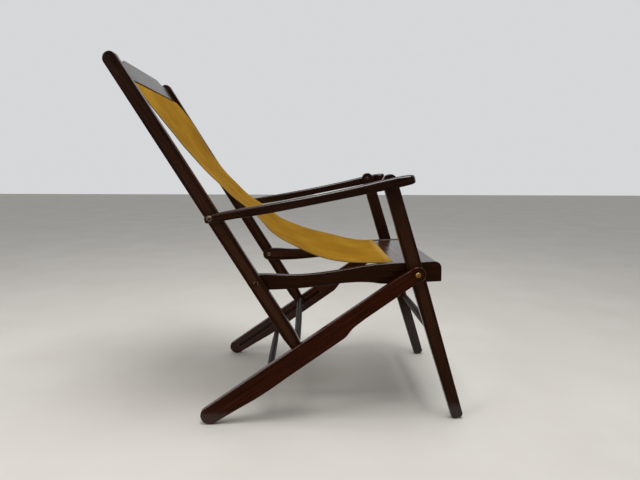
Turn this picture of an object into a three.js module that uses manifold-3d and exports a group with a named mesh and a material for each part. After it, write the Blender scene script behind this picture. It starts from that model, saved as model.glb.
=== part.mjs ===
// Folding camp chair: a four-bar hardwood frame with a canvas sling.
// Units are millimetres, +Z is up, +X is the way a sitter faces and +Y is the sitter's left.
// The origin is on the floor, under the middle of the open chair.
import * as THREE from "three";
import { mergeVertices } from "three/addons/utils/BufferGeometryUtils.js";
import Module from "manifold-3d";

const wasm = await Module();
wasm.setup();

// ---------------------------------------------------------------- driving dimensions

// The side members lie in three layers, each one board thick, from the arms inwards.
const HALF_WIDTH = 264;
const BOARD = 19;
const CENTRE_SHIFT = -2.23; // puts the middle of the chair's length on the origin
const PLAY = 0.5;
const GAP = 0.3;
const EDGE_ROUND = 2.2;

const OUTER_LAYER = HALF_WIDTH - BOARD; // arms and rear legs
const MIDDLE_LAYER = OUTER_LAYER - PLAY - BOARD; // back posts and front legs
const INNER_LAYER = MIDDLE_LAYER - PLAY - BOARD; // seat rails

// Pivots B (back post on seat rail) and C (both legs on seat rail), and the angles of the members.
const BACK_PIVOT = new THREE.Vector2(-97, 379);
const LEG_PIVOT = new THREE.Vector2(323, 405.5);
const BACK_ANGLE = THREE.MathUtils.degToRad(121.6);
const FRONT_LEG_ANGLE = THREE.MathUtils.degToRad(107.5);

const POST_WIDTH = 37;
const POST_TOP = 674; // above the back pivot, along the post
const POST_FOOT_RADIUS = 13;
const ARM_PIVOT_UP = 204; // arm pivot above the back pivot, along the post
const ARM_PIVOT_BACK = 4; // and behind the middle of the post
const PIN_DOWN = 219.2; // recline pins below the back pivot
const RECLINE_BAR_UP = 20; // recline bar above the pins
const RECLINE_BAR_FORWARD = 4;

const CREST = {
  thickness: 16,
  front: 7, // front face, before the middle of the post
  bottom: 607,
  ledge: 657,
  top: 673,
  topHalf: 132,
  ledgeHalf: 166,
};

const FRONT_LEG_UP = 250; // arm pivot above the leg pivot
const FRONT_LEG_TOP_WIDTH = 38;
const FRONT_LEG_WIDTH = 40;
const FRONT_LEG_FOOT_WIDTH = 32;
const FRONT_LEG_FOOT_CORNER = 11;
const FRONT_STRETCHER = { down: 192, back: -8, endRadius: 8, midRadius: 11.5 };

const REAR_LEG = {
  headRadius: 20.5,
  top: 23,
  neck: 18.5,
  neckEnd: 186,
  bellyStart: 246,
  belly: 31,
  bellyEnd: 545,
  footRadius: 24.3,
};
const GROOVE = { start: 300, end: 648, width: 10.8, depth: 9, notchPitch: 62, notchDrop: 3.5 };
const REAR_STRETCHER = { along: 495, below: 22, endRadius: 7, midRadius: 10 };

const ARM = { tail: 14, overhang: 62, ease: 4, paddle: 20, paddleDepth: 21, paddleBottom: -16 };

const SEAT_BOARD = { back: 252, front: 384, thickness: 18, nose: 7 };

const PIN = { shankRadius: 5, headRadius: 8, headHeight: 4.5 };
const SCREW = { shankRadius: 3, headRadius: 7, headHeight: 3.4 };
const WASHER = { radius: 7.2, thickness: 1.2 };
const PIVOT_HEAD_RADIUS = 4.4; // of the small screws that sit in washers
const NUT = { acrossFlats: 12, thickness: 5 };
const HOLE_PLAY = 0.3;

// The sling's run from the crest to the seat board, at its thin middle surface.
const SLING = { halfWidth: 200, thickness: 3, steps: 22 };

const COLOURS = {
  hardwood: { color: 0x2a140b, roughness: 0.38, metalness: 0 },
  brass: { color: 0xb08d4a, roughness: 0.3, metalness: 1 },
  canvas: { color: 0x96701a, roughness: 0.9, metalness: 0 },
};

// ---------------------------------------------------------------- solids from geometry

/** A three.js geometry as a manifold-3d solid. */
function toSolid(geometry) {
  const bare = geometry.clone();
  bare.deleteAttribute("normal");
  bare.deleteAttribute("uv");
  const merged = mergeVertices(bare, 1e-4);
  return new wasm.Manifold(
    new wasm.Mesh({
      numProp: 3,
      vertProperties: merged.attributes.position.array,
      triVerts: new Uint32Array(merged.index.array),
    }),
  );
}

/** A manifold-3d solid as a three.js geometry with flat shading normals. */
function toGeometry(solid) {
  const mesh = solid.getMesh();
  const indexed = new THREE.BufferGeometry();
  indexed.setAttribute("position", new THREE.BufferAttribute(mesh.vertProperties, mesh.numProp));
  indexed.setIndex(new THREE.BufferAttribute(mesh.triVerts, 1));
  const flat = indexed.toNonIndexed();
  flat.computeVertexNormals();
  return flat;
}

/** The geometry less every cutter. */
function cut(geometry, cutters) {
  return toGeometry(cutters.reduce((solid, cutter) => solid.subtract(toSolid(cutter)), toSolid(geometry)));
}

/** The geometry joined with every other geometry. */
function join(geometry, others) {
  return toGeometry(others.reduce((solid, other) => solid.add(toSolid(other)), toSolid(geometry)));
}

/** A slab of an outline in the XY plane, from z = 0 up to its thickness, with its edges eased. */
function easedSlab(outline, thickness, ease) {
  const geometry = new THREE.ExtrudeGeometry(outline, {
    depth: thickness - 2 * ease,
    bevelThickness: ease,
    bevelSize: ease,
    bevelOffset: -ease,
    bevelSegments: ease > 3 ? 3 : 1,
    curveSegments: 7,
  });
  geometry.translate(0, 0, ease);
  return geometry;
}

/**
 * A board cut to an outline in the XZ plane of its frame, with its edges eased.
 * On the sitter's left it runs from y = inner to inner + thickness, and on the right it is mirrored.
 */
function board(outline, side, inner, thickness, ease = EDGE_ROUND) {
  const geometry = easedSlab(outline, thickness, ease);
  geometry.rotateX(Math.PI / 2);
  geometry.translate(0, side > 0 ? inner + thickness : -inner, 0);
  return geometry;
}

/** A turned piece on an axis along Y: a profile of [radius, y] pairs from one end to the other. */
function turned(profile, segments = 20) {
  const points = [[0, profile[0][1]], ...profile, [0, profile[profile.length - 1][1]]];
  return new THREE.LatheGeometry(
    points.map(([radius, y]) => new THREE.Vector2(radius, y)),
    segments,
  );
}

/** A round hole or bar along Y between two values of y, centred at (x, z). */
function rod(radius, yStart, yEnd, x = 0, z = 0, segments = 20) {
  const geometry = new THREE.CylinderGeometry(radius, radius, Math.abs(yEnd - yStart), segments);
  geometry.translate(x, (yStart + yEnd) / 2, z);
  return geometry;
}

/** A shape drawn by a callback. */
function outlineOf(draw) {
  const shape = new THREE.Shape();
  draw(shape);
  return shape;
}

/** A closed outline through corner points [x, y, radius], each corner rounded by about its radius. */
function roundedOutline(corners) {
  const at = (i) => new THREE.Vector2(...corners[(i + corners.length) % corners.length]);
  return outlineOf((shape) => {
    corners.forEach(([x, y, radius], i) => {
      const corner = new THREE.Vector2(x, y);
      const toLast = at(i - 1).sub(corner).normalize();
      const toNext = at(i + 1).sub(corner).normalize();
      const halfAngle = Math.acos(THREE.MathUtils.clamp(toLast.dot(toNext), -1, 1)) / 2;
      const reach = radius / Math.tan(halfAngle);
      const start = corner.clone().addScaledVector(toLast, reach);
      const end = corner.clone().addScaledVector(toNext, reach);
      if (i === 0) shape.moveTo(start.x, start.y);
      else shape.lineTo(start.x, start.y);
      shape.quadraticCurveTo(x, y, end.x, end.y);
    });
  });
}

// ---------------------------------------------------------------- scene graph

const chair = new THREE.Group();
chair.name = "folding_camp_chair";
chair.position.x = CENTRE_SHIFT;

/** A named mesh with a finish of its own. */
function addPiece(group, name, geometry, finish) {
  const mesh = new THREE.Mesh(geometry, new THREE.MeshStandardMaterial(COLOURS[finish]));
  mesh.name = name;
  group.add(mesh);
  return mesh;
}

/** A group whose origin is at a pivot and whose +X points along a member at an angle above +X. */
function memberFrame(pivot, angle) {
  const group = new THREE.Group();
  group.position.set(pivot.x, 0, pivot.y);
  group.rotation.y = -angle;
  chair.add(group);
  return group;
}

/** A point of the XZ plane, moved from a pivot along an angle and then across it. */
function stepFrom(pivot, angle, along, across = 0) {
  return new THREE.Vector2(
    pivot.x + along * Math.cos(angle) - across * Math.sin(angle),
    pivot.y + along * Math.sin(angle) + across * Math.cos(angle),
  );
}

const SIDES = [
  { name: "left", sign: 1 },
  { name: "right", sign: -1 },
];

const armPivot = stepFrom(BACK_PIVOT, BACK_ANGLE, ARM_PIVOT_UP, ARM_PIVOT_BACK);
const armFrontPivot = stepFrom(LEG_PIVOT, FRONT_LEG_ANGLE, FRONT_LEG_UP);
const pinPoint = stepFrom(BACK_PIVOT, BACK_ANGLE, -PIN_DOWN);

// ---------------------------------------------------------------- back

/** A straight post with a round top and a slimmer round foot that holds the recline pin. */
function postOutline() {
  const half = POST_WIDTH / 2;
  const taperLength = 55;
  return outlineOf((shape) => {
    shape.moveTo(-PIN_DOWN + taperLength, -half);
    shape.lineTo(POST_TOP - half, -half + 0.7);
    shape.absarc(POST_TOP - half, 0, half - 0.7, -Math.PI / 2, Math.PI / 2, false);
    shape.lineTo(-PIN_DOWN + taperLength, half);
    shape.lineTo(-PIN_DOWN, POST_FOOT_RADIUS);
    shape.absarc(-PIN_DOWN, 0, POST_FOOT_RADIUS, Math.PI / 2, (3 * Math.PI) / 2, false);
  });
}

/** The crest rail's outline across the chair: a raised middle with cyma shoulders and two ledges. */
function crestOutline() {
  const end = MIDDLE_LAYER - GAP;
  const high = CREST.ledgeHalf - 8;
  const low = CREST.topHalf + 14;
  return outlineOf((shape) => {
    shape.moveTo(-end, CREST.bottom);
    shape.lineTo(end, CREST.bottom);
    shape.lineTo(end, CREST.ledge - 3);
    shape.lineTo(CREST.ledgeHalf, CREST.ledge);
    shape.bezierCurveTo(high, CREST.ledge + 4, low, CREST.top, CREST.topHalf, CREST.top);
    shape.lineTo(-CREST.topHalf, CREST.top);
    shape.bezierCurveTo(-low, CREST.top, -high, CREST.ledge + 4, -CREST.ledgeHalf, CREST.ledge);
    shape.lineTo(-end, CREST.ledge - 3);
    shape.closePath();
  });
}

function buildBack() {
  const frame = memberFrame(BACK_PIVOT, BACK_ANGLE);
  for (const { name, sign } of SIDES) {
    const outline = postOutline();
    const pinHole = new THREE.Path().absarc(-PIN_DOWN, 0, PIN.shankRadius + HOLE_PLAY, 0, 2 * Math.PI, true);
    outline.holes.push(pinHole);
    const inside = sign * (MIDDLE_LAYER - 1);
    const outside = sign * (OUTER_LAYER + 1);
    const washerSeat = sign * (OUTER_LAYER - PLAY - SCREW.headHeight - WASHER.thickness - GAP);
    const post = cut(board(outline, sign, MIDDLE_LAYER, BOARD), [
      rod(SCREW.shankRadius + HOLE_PLAY, inside, outside),
      rod(WASHER.radius + HOLE_PLAY, washerSeat, outside),
      rod(SCREW.shankRadius + HOLE_PLAY, sign * (MIDDLE_LAYER + 5), outside, ARM_PIVOT_UP, ARM_PIVOT_BACK),
    ]);
    addPiece(frame, `back_post_${name}`, post, "hardwood");
    addPiece(frame, `back_pivot_washer_${name}`, washer(washerSeat + sign * GAP, sign), "brass");
  }
  const crest = easedSlab(crestOutline(), CREST.thickness, EDGE_ROUND);
  crest.translate(0, 0, -CREST.front);
  crest.rotateZ(-Math.PI / 2);
  addPiece(frame, "crest_rail", crest, "hardwood");

  const barEnd = MIDDLE_LAYER - GAP;
  const bar = spindle(barEnd, 7.5, 10);
  bar.translate(-PIN_DOWN + RECLINE_BAR_UP, 0, -RECLINE_BAR_FORWARD);
  addPiece(frame, "recline_bar", bar, "hardwood");
}

/** A turned cross bar along Y: round ends that swell gently to the middle. */
function spindle(halfLength, endRadius, midRadius) {
  const steps = 5;
  const profile = [];
  for (let i = -steps; i <= steps; i += 1) {
    const t = i / steps;
    const swell = Math.cos((t * Math.PI) / 2) ** 0.8;
    profile.push([endRadius + (midRadius - endRadius) * swell, t * halfLength]);
  }
  return turned(profile, 16);
}

// ---------------------------------------------------------------- fasteners

/** A flat ring whose inner face is at y = start, on the side that faces out. */
function washer(start, sign) {
  const inner = SCREW.shankRadius + HOLE_PLAY;
  const outer = WASHER.radius;
  const [low, high] = sign > 0 ? [start, start + WASHER.thickness] : [start - WASHER.thickness, start];
  const profile = [
    [inner, low],
    [outer, low],
    [outer, high - 0.4],
    [outer - 0.6, high],
    [inner, high],
    [inner, low],
  ];
  return new THREE.LatheGeometry(
    profile.map(([radius, y]) => new THREE.Vector2(radius, y)),
    24,
  );
}

/** A domed head with a screwdriver slot on a round shank. The head's underside is at y = seat. */
function screw(seat, tip, sign, headRadius = SCREW.headRadius) {
  const height = SCREW.headHeight;
  const shankRadius = SCREW.shankRadius;
  const profile = [
    [0, seat + sign * height],
    [headRadius * 0.45, seat + sign * height * 0.94],
    [headRadius * 0.8, seat + sign * height * 0.66],
    [headRadius, seat + sign * 0.4],
    [headRadius, seat],
    [shankRadius, seat],
    [shankRadius, tip],
    [0, tip],
  ];
  if (sign < 0) profile.reverse();
  const ordered = profile.map(([radius, y]) => new THREE.Vector2(radius, y)).reverse();
  const body = new THREE.LatheGeometry(ordered, 20);
  const slot = new THREE.BoxGeometry(2 * headRadius + 2, 1.6, 1.4);
  slot.translate(0, seat + sign * (height + 0.2), 0);
  return cut(body, [slot]);
}

/** A hexagonal nut on a bolt, with its outer face at y = start. */
function nut(start, sign) {
  const radius = NUT.acrossFlats / Math.sqrt(3);
  const end = start - sign * NUT.thickness;
  const body = new THREE.CylinderGeometry(radius, radius, NUT.thickness, 6);
  body.translate(0, (start + end) / 2, 0);
  return cut(body, [rod(SCREW.shankRadius + HOLE_PLAY, start + sign, end - sign)]);
}

// ---------------------------------------------------------------- seat

/** A seat rail: low and slim at the back pivot, and deeper at the front where it carries the board. */
function seatRailOutline() {
  const back = BACK_PIVOT;
  const rear = 21;
  return outlineOf((shape) => {
    shape.moveTo(back.x, back.y - rear);
    shape.bezierCurveTo(-40, 357, 30, 361, 90, 370);
    shape.bezierCurveTo(140, 378, 190, 380, 216, 376);
    shape.quadraticCurveTo(235, 372, 262, 374);
    shape.lineTo(392, 380);
    shape.quadraticCurveTo(395, 380, 395, 384);
    shape.lineTo(394, 418);
    shape.quadraticCurveTo(391, 434, 372, 434);
    shape.lineTo(310, 431);
    shape.bezierCurveTo(220, 429, 190, 422, 130, 411);
    shape.bezierCurveTo(60, 400, 10, 394, -45, 399);
    shape.quadraticCurveTo(-70, 401, -92, 399.6);
    shape.absarc(back.x, back.y, rear, Math.PI * 0.46, Math.PI * 1.5, false);
  });
}

/** A hole with its centre at the origin of a fastener's frame, moved to a pivot. */
function holeAt(pivot, radius, yStart, yEnd) {
  return rod(radius, yStart, yEnd, pivot.x, pivot.y);
}

function buildSeat() {
  const frame = new THREE.Group();
  chair.add(frame);
  const nutSeat = INNER_LAYER + 6;
  for (const { name, sign } of SIDES) {
    const inside = sign * (INNER_LAYER - 1);
    const outside = sign * (MIDDLE_LAYER + 1);
    const cutters = [BACK_PIVOT, LEG_PIVOT].flatMap((pivot) => [
      holeAt(pivot, SCREW.shankRadius + HOLE_PLAY, inside, outside),
      holeAt(pivot, NUT.acrossFlats / 2 + 2.5, inside, sign * nutSeat),
    ]);
    const rail = cut(board(seatRailOutline(), sign, INNER_LAYER, BOARD), cutters);
    addPiece(frame, `seat_rail_${name}`, rail, "hardwood");

    const tip = sign * (INNER_LAYER + 0.6);
    const backHead = sign * (OUTER_LAYER - PLAY - SCREW.headHeight + GAP);
    const legHead = sign * (OUTER_LAYER - PLAY - SCREW.headHeight - GAP);
    const bolts = [
      {
        pivot: BACK_PIVOT,
        bolt: "back_pivot_bolt",
        nutName: "back_pivot_nut",
        seat: backHead,
        headRadius: PIVOT_HEAD_RADIUS,
      },
      {
        pivot: LEG_PIVOT,
        bolt: "leg_pivot_bolt",
        nutName: "leg_pivot_nut",
        seat: legHead,
        headRadius: SCREW.headRadius,
      },
    ];
    for (const { pivot, bolt, nutName, seat, headRadius } of bolts) {
      const boltMesh = addPiece(frame, `${bolt}_${name}`, screw(seat, tip, sign, headRadius), "brass");
      boltMesh.position.set(pivot.x, 0, pivot.y);
      const nutMesh = addPiece(frame, `${nutName}_${name}`, nut(sign * (nutSeat - GAP), sign), "brass");
      nutMesh.position.set(pivot.x, 0, pivot.y);
    }
  }
  addPiece(frame, "seat_front_board", seatBoard(), "hardwood");
  addPiece(frame, "canvas_sling", slingSolid(), "canvas");
}

/** The flat board across the front of the seat, housed between the rails, with a rounded nose. */
function seatBoard() {
  const top = { back: 426.5, front: 432 };
  const { back, front, thickness, nose } = SEAT_BOARD;
  const outline = outlineOf((shape) => {
    shape.moveTo(back, top.back - thickness);
    shape.lineTo(front - nose, top.front - thickness);
    shape.quadraticCurveTo(front, top.front - thickness, front + 3, top.front - thickness / 2);
    shape.quadraticCurveTo(front + 3, top.front, front - nose, top.front);
    shape.lineTo(back, top.back);
  });
  return board(outline, 1, -(INNER_LAYER - GAP), 2 * (INNER_LAYER - GAP), 1.5);
}

// ---------------------------------------------------------------- sling

/** The sling's side profile, from behind the crest rail's lower edge down to the seat board. */
function slingCurve() {
  const hang = (along, across) => stepFrom(BACK_PIVOT, BACK_ANGLE, along, across);
  return new THREE.CatmullRomCurve3(
    [
      hang(598, -7),
      hang(540, -16),
      hang(430, -21),
      hang(365, -27),
      hang(317, -35),
      hang(272, -44),
      hang(222, -57),
      new THREE.Vector2(-98, 548),
      new THREE.Vector2(-54, 508),
      new THREE.Vector2(12, 475),
      new THREE.Vector2(72, 453),
      new THREE.Vector2(150, 435),
      new THREE.Vector2(205, 428),
      new THREE.Vector2(248, 427),
    ].map((point) => new THREE.Vector3(point.x, 0, point.y)),
    false,
    "centripetal",
  );
}

/** A thin closed sheet that follows the sling's profile across the chair. */
function slingSolid() {
  const curve = slingCurve();
  const half = SLING.thickness / 2;
  const upper = [];
  const lower = [];
  for (let i = 0; i <= SLING.steps; i += 1) {
    const point = curve.getPointAt(i / SLING.steps);
    const along = curve.getTangentAt(i / SLING.steps);
    upper.push(new THREE.Vector2(point.x - along.z * half, point.z + along.x * half));
    lower.push(new THREE.Vector2(point.x + along.z * half, point.z - along.x * half));
  }
  const outline = new THREE.Shape([...lower, ...upper.reverse()]);
  const geometry = new THREE.ExtrudeGeometry(outline, { depth: 2 * SLING.halfWidth, bevelEnabled: false });
  geometry.rotateX(Math.PI / 2);
  geometry.translate(0, SLING.halfWidth, 0);
  return geometry;
}

// ---------------------------------------------------------------- front legs

/** A front leg about its pivot: a round head at the arm, and a taper to a foot with rounded corners. */
function frontLegOutline() {
  const top = FRONT_LEG_TOP_WIDTH / 2;
  const middle = FRONT_LEG_WIDTH / 2;
  const corner = FRONT_LEG_FOOT_CORNER;
  const offset = FRONT_LEG_FOOT_WIDTH / 2 - corner;
  const height = LEG_PIVOT.y + offset * Math.cos(FRONT_LEG_ANGLE) - corner;
  const down = height / Math.sin(FRONT_LEG_ANGLE);
  return outlineOf((shape) => {
    shape.moveTo(0, -middle);
    shape.lineTo(FRONT_LEG_UP, -top);
    shape.absarc(FRONT_LEG_UP, 0, top, -Math.PI / 2, Math.PI / 2, false);
    shape.lineTo(0, middle);
    shape.absarc(-down, offset, corner, Math.PI / 2, Math.PI, false);
    shape.absarc(-down, -offset, corner, Math.PI, (3 * Math.PI) / 2, false);
  });
}

function buildFrontLegs() {
  const frame = memberFrame(LEG_PIVOT, FRONT_LEG_ANGLE);
  for (const { name, sign } of SIDES) {
    const inside = sign * (MIDDLE_LAYER - 1);
    const outside = sign * (OUTER_LAYER + 1);
    const headSeat = sign * (OUTER_LAYER - PLAY - SCREW.headHeight - 2 * GAP);
    const leg = cut(board(frontLegOutline(), sign, MIDDLE_LAYER, BOARD), [
      rod(SCREW.shankRadius + HOLE_PLAY, inside, outside),
      rod(SCREW.headRadius + HOLE_PLAY, headSeat, outside),
      rod(SCREW.shankRadius + HOLE_PLAY, inside, sign * (OUTER_LAYER - 4), FRONT_LEG_UP, 0),
    ]);
    addPiece(frame, `front_leg_${name}`, leg, "hardwood");

    const screwTip = sign * (OUTER_LAYER - 5);
    const headSide = sign * (MIDDLE_LAYER - WASHER.thickness - 2 * GAP);
    const armScrew = screw(headSide, screwTip, -sign, PIVOT_HEAD_RADIUS);
    addPiece(frame, `arm_front_screw_${name}`, armScrew, "brass").position.x = FRONT_LEG_UP;
    const armWasher = washer(sign * (MIDDLE_LAYER - GAP), -sign);
    addPiece(frame, `arm_front_washer_${name}`, armWasher, "brass").position.x = FRONT_LEG_UP;
  }
  const stretcher = spindle(MIDDLE_LAYER - GAP, FRONT_STRETCHER.endRadius, FRONT_STRETCHER.midRadius);
  stretcher.translate(-FRONT_STRETCHER.down, 0, FRONT_STRETCHER.back);
  addPiece(frame, "front_stretcher", stretcher, "hardwood");
}

// ---------------------------------------------------------------- rear legs

/** A rear leg about its pivot: a slim neck, an ogee into a deeper blade, and a round foot. */
function rearLegOutline(slope) {
  const leg = REAR_LEG;
  const footAt = (LEG_PIVOT.y - leg.footRadius) / Math.sin(slope);
  const footSide = Math.asin(leg.top / leg.footRadius);
  return outlineOf((shape) => {
    shape.moveTo(8, -leg.headRadius + 1);
    shape.quadraticCurveTo(40, -leg.top, 80, -leg.top);
    shape.lineTo(footAt - 24, -leg.top);
    shape.absarc(footAt, 0, leg.footRadius, -footSide, Math.PI / 2 - 0.1, false);
    shape.quadraticCurveTo(610, 27, leg.bellyEnd, leg.belly + 1.5);
    shape.quadraticCurveTo(500, leg.belly + 4, 440, leg.belly + 1.5);
    shape.lineTo(leg.bellyStart + 12, leg.belly);
    shape.bezierCurveTo(leg.bellyStart - 12, leg.belly, leg.bellyStart - 16, 22, leg.neckEnd + 22, 20.5);
    shape.quadraticCurveTo(leg.neckEnd, leg.neck, leg.neckEnd - 40, leg.neck);
    shape.lineTo(16, leg.neck - 1);
    shape.absarc(0, 0, leg.headRadius, Math.PI * 0.38, Math.PI * 1.55, false);
  });
}

/** The recline groove and its three notches, sunk in a rear leg's inner face. */
function grooveCutters(sign) {
  const y = sign * (OUTER_LAYER + GROOVE.depth);
  const yOpen = sign * (OUTER_LAYER - 1);
  const radius = GROOVE.width / 2;
  const channel = new THREE.BoxGeometry(GROOVE.end - GROOVE.start, GROOVE.depth + 1, GROOVE.width);
  channel.translate((GROOVE.start + GROOVE.end) / 2, (y + yOpen) / 2, 0);
  const cutters = [channel, rod(radius, yOpen, y, GROOVE.start), rod(radius, yOpen, y, GROOVE.end)];
  const inUse = pinPoint.distanceTo(LEG_PIVOT);
  for (const step of [-1, 0, 1]) {
    cutters.push(rod(radius, yOpen, y, inUse + step * GROOVE.notchPitch, GROOVE.notchDrop));
  }
  return cutters;
}

function buildRearLegs() {
  const angle = Math.atan2(pinPoint.y - LEG_PIVOT.y, pinPoint.x - LEG_PIVOT.x);
  const frame = memberFrame(LEG_PIVOT, angle);
  for (const { name, sign } of SIDES) {
    const screwTip = sign * (OUTER_LAYER + 4);
    const leg = cut(board(rearLegOutline(Math.PI + angle), sign, OUTER_LAYER, BOARD), [
      ...grooveCutters(sign),
      rod(SCREW.shankRadius + HOLE_PLAY, screwTip - sign, sign * (HALF_WIDTH + 1)),
      rod(REAR_STRETCHER.endRadius + HOLE_PLAY, sign * (OUTER_LAYER - 1), sign * (OUTER_LAYER + 8),
        REAR_STRETCHER.along, REAR_STRETCHER.below),
    ]);
    addPiece(frame, `rear_leg_${name}`, leg, "hardwood");
    addPiece(frame, `rear_leg_screw_${name}`, screw(sign * (HALF_WIDTH + GAP), screwTip, sign), "brass");
  }
  const stretcher = spindle(OUTER_LAYER + 8 - GAP, REAR_STRETCHER.endRadius, REAR_STRETCHER.midRadius);
  stretcher.translate(REAR_STRETCHER.along, 0, REAR_STRETCHER.below);
  addPiece(frame, "rear_stretcher", stretcher, "hardwood");
}

/** Pins that turn in the feet of the back posts and slide in the grooves of the rear legs. */
function buildReclinePins() {
  const frame = new THREE.Group();
  frame.position.set(pinPoint.x, 0, pinPoint.y);
  chair.add(frame);
  for (const { name, sign } of SIDES) {
    const head = MIDDLE_LAYER - GAP;
    const profile = [
      [0, head - PIN.headHeight],
      [PIN.headRadius * 0.6, head - PIN.headHeight],
      [PIN.headRadius, head - PIN.headHeight * 0.6],
      [PIN.headRadius, head],
      [PIN.shankRadius, head],
      [PIN.shankRadius, OUTER_LAYER + GROOVE.depth - 1],
      [0, OUTER_LAYER + GROOVE.depth - 1],
    ];
    const points = profile.map(([radius, y]) => new THREE.Vector2(radius, sign * y));
    if (sign < 0) points.reverse();
    addPiece(frame, `recline_pin_${name}`, new THREE.LatheGeometry(points, 20), "brass");
  }
}

// ---------------------------------------------------------------- arms

/** An arm's side outline about its back pivot, with +X towards the front: it bows down a little. */
function armOutline(length) {
  const reach = length + ARM.overhang;
  return roundedOutline([
    [-ARM.tail, -11, 7],
    [170, -17.8, 200],
    [reach - 30, -18.2, 100],
    [reach, -15.5, 8],
    [reach, 6, 9],
    [length + 18, 9.5, 60],
    [300, 4.5, 300],
    [60, 10, 120],
    [-ARM.tail, 9, 7],
  ]);
}

/** An arm: a slim shaped bar whose front end widens inwards, past the leg, into a rounded paddle. */
function armGeometry(length, sign) {
  const bar = board(armOutline(length), sign, OUTER_LAYER, BOARD, ARM.ease);
  const reach = length + ARM.overhang;
  const start = length + FRONT_LEG_TOP_WIDTH / 2 + 4;
  const plan = roundedOutline([
    [start, sign * (OUTER_LAYER + 14), 5],
    [start, sign * OUTER_LAYER, 6],
    [start + 10, sign * (OUTER_LAYER - ARM.paddle), 12],
    [reach, sign * (OUTER_LAYER - ARM.paddle), 14],
    [reach - 3, sign * (OUTER_LAYER + 14), 5],
  ]);
  const paddle = easedSlab(plan, ARM.paddleDepth, ARM.ease - 1);
  paddle.translate(0, 0, ARM.paddleBottom);
  return join(bar, [paddle]);
}

function buildArms() {
  const reach = armFrontPivot.clone().sub(armPivot);
  const angle = Math.atan2(reach.y, reach.x);
  const frame = memberFrame(armPivot, angle);
  for (const { name, sign } of SIDES) {
    const head = sign * HALF_WIDTH;
    const arm = cut(armGeometry(reach.length(), sign), [
      rod(SCREW.shankRadius + HOLE_PLAY, sign * (OUTER_LAYER - 1), sign * (HALF_WIDTH + 1)),
    ]);
    addPiece(frame, `arm_${name}`, arm, "hardwood");
    addPiece(frame, `arm_back_washer_${name}`, washer(head + sign * GAP, sign), "brass");
    const seat = head + sign * (2 * GAP + WASHER.thickness);
    const backScrew = screw(seat, sign * (MIDDLE_LAYER + 6), sign, PIVOT_HEAD_RADIUS);
    addPiece(frame, `arm_back_screw_${name}`, backScrew, "brass");
  }
}

buildBack();
buildSeat();
buildFrontLegs();
buildRearLegs();
buildReclinePins();
buildArms();

export default chair;
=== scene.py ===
"""A folding camp chair: a dark stained hardwood frame, brass pivots and a mustard canvas sling.

Members are drawn in millimetres in their own frames, with +X along the member, and are placed in
metres in the chair's frame: +X the way a sitter faces, +Y the sitter's left and +Z up.
"""

import logging
import math
from collections.abc import Callable, Iterable, Sequence
from dataclasses import dataclass, field
from enum import Enum

import bmesh
import bpy
from mathutils import Matrix, Vector, noise


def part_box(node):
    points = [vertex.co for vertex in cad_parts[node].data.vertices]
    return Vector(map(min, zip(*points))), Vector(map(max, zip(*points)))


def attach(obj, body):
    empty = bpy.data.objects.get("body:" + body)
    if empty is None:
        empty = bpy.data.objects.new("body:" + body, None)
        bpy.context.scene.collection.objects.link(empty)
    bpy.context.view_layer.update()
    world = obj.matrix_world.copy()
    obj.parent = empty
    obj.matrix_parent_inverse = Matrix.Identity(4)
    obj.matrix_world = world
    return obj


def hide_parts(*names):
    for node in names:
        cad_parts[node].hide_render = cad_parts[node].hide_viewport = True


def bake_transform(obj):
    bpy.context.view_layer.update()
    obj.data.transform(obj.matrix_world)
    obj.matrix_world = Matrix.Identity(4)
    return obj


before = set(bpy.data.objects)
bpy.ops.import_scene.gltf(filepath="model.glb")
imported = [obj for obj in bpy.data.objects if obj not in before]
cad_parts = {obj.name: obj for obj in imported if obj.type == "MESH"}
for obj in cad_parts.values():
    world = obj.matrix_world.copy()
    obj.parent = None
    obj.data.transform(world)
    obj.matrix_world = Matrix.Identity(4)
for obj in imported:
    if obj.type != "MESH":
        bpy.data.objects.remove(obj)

log = logging.getLogger("camp_chair")

MM = 0.001
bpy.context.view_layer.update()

# Distance of each layer of boards from the middle of the chair, and the thickness of a board.
OUTER_LAYER = 245.0
MIDDLE_LAYER = 225.5
INNER_LAYER = 206.0
BOARD = 19.0

GAP = 0.3  # left where one piece sits in another
HEAD_HEIGHT = 3.4  # of a screw's dome
CUP_HEIGHT = 1.2  # of a cup washer's rim

Place = Callable[[float, float, float], Vector]


class Side(Enum):
    """The sitter's left or right."""

    LEFT = 1
    RIGHT = -1

    @property
    def label(self) -> str:
        """The side's name, as CAD nodes spell it."""
        return self.name.lower()


class Tone(Enum):
    """The finishes that a wooden piece may have."""

    DARK = "dark"
    RED = "red"
    DULL = "dull"


# ---------------------------------------------------------------- nodes and colours


def linear(hex_colour: str) -> tuple[float, float, float, float]:
    """Turns an sRGB colour into the linear colour that sockets hold.

    Args:
        hex_colour: Six hex digits after a hash, such as "#96701a".

    Returns:
        Red, green, blue and an alpha of 1.
    """
    channels = [int(hex_colour[i : i + 2], 16) / 255 for i in (1, 3, 5)]
    low = [c / 12.92 if c <= 0.04045 else ((c + 0.055) / 1.055) ** 2.4 for c in channels]
    return low[0], low[1], low[2], 1.0


def add(
    tree: bpy.types.NodeTree, kind: str, inputs: dict | None = None, **settings: object
) -> bpy.types.Node:
    """Adds a node with its settings, input values and links.

    Args:
        tree: The node tree that gets the node.
        kind: The node's type name.
        inputs: What each input gets, by socket name or number: a value, an output, or a node,
            which gives its first output.
        settings: Attributes of the node, by name.

    Returns:
        The new node.
    """
    node = tree.nodes.new(kind)
    for name, value in settings.items():
        setattr(node, name, value)
    for name, source in (inputs or {}).items():
        if isinstance(source, bpy.types.Node):
            source = source.outputs[0]
        if isinstance(source, bpy.types.NodeSocket):
            tree.links.new(source, node.inputs[name])
        else:
            node.inputs[name].default_value = source
    return node


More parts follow.
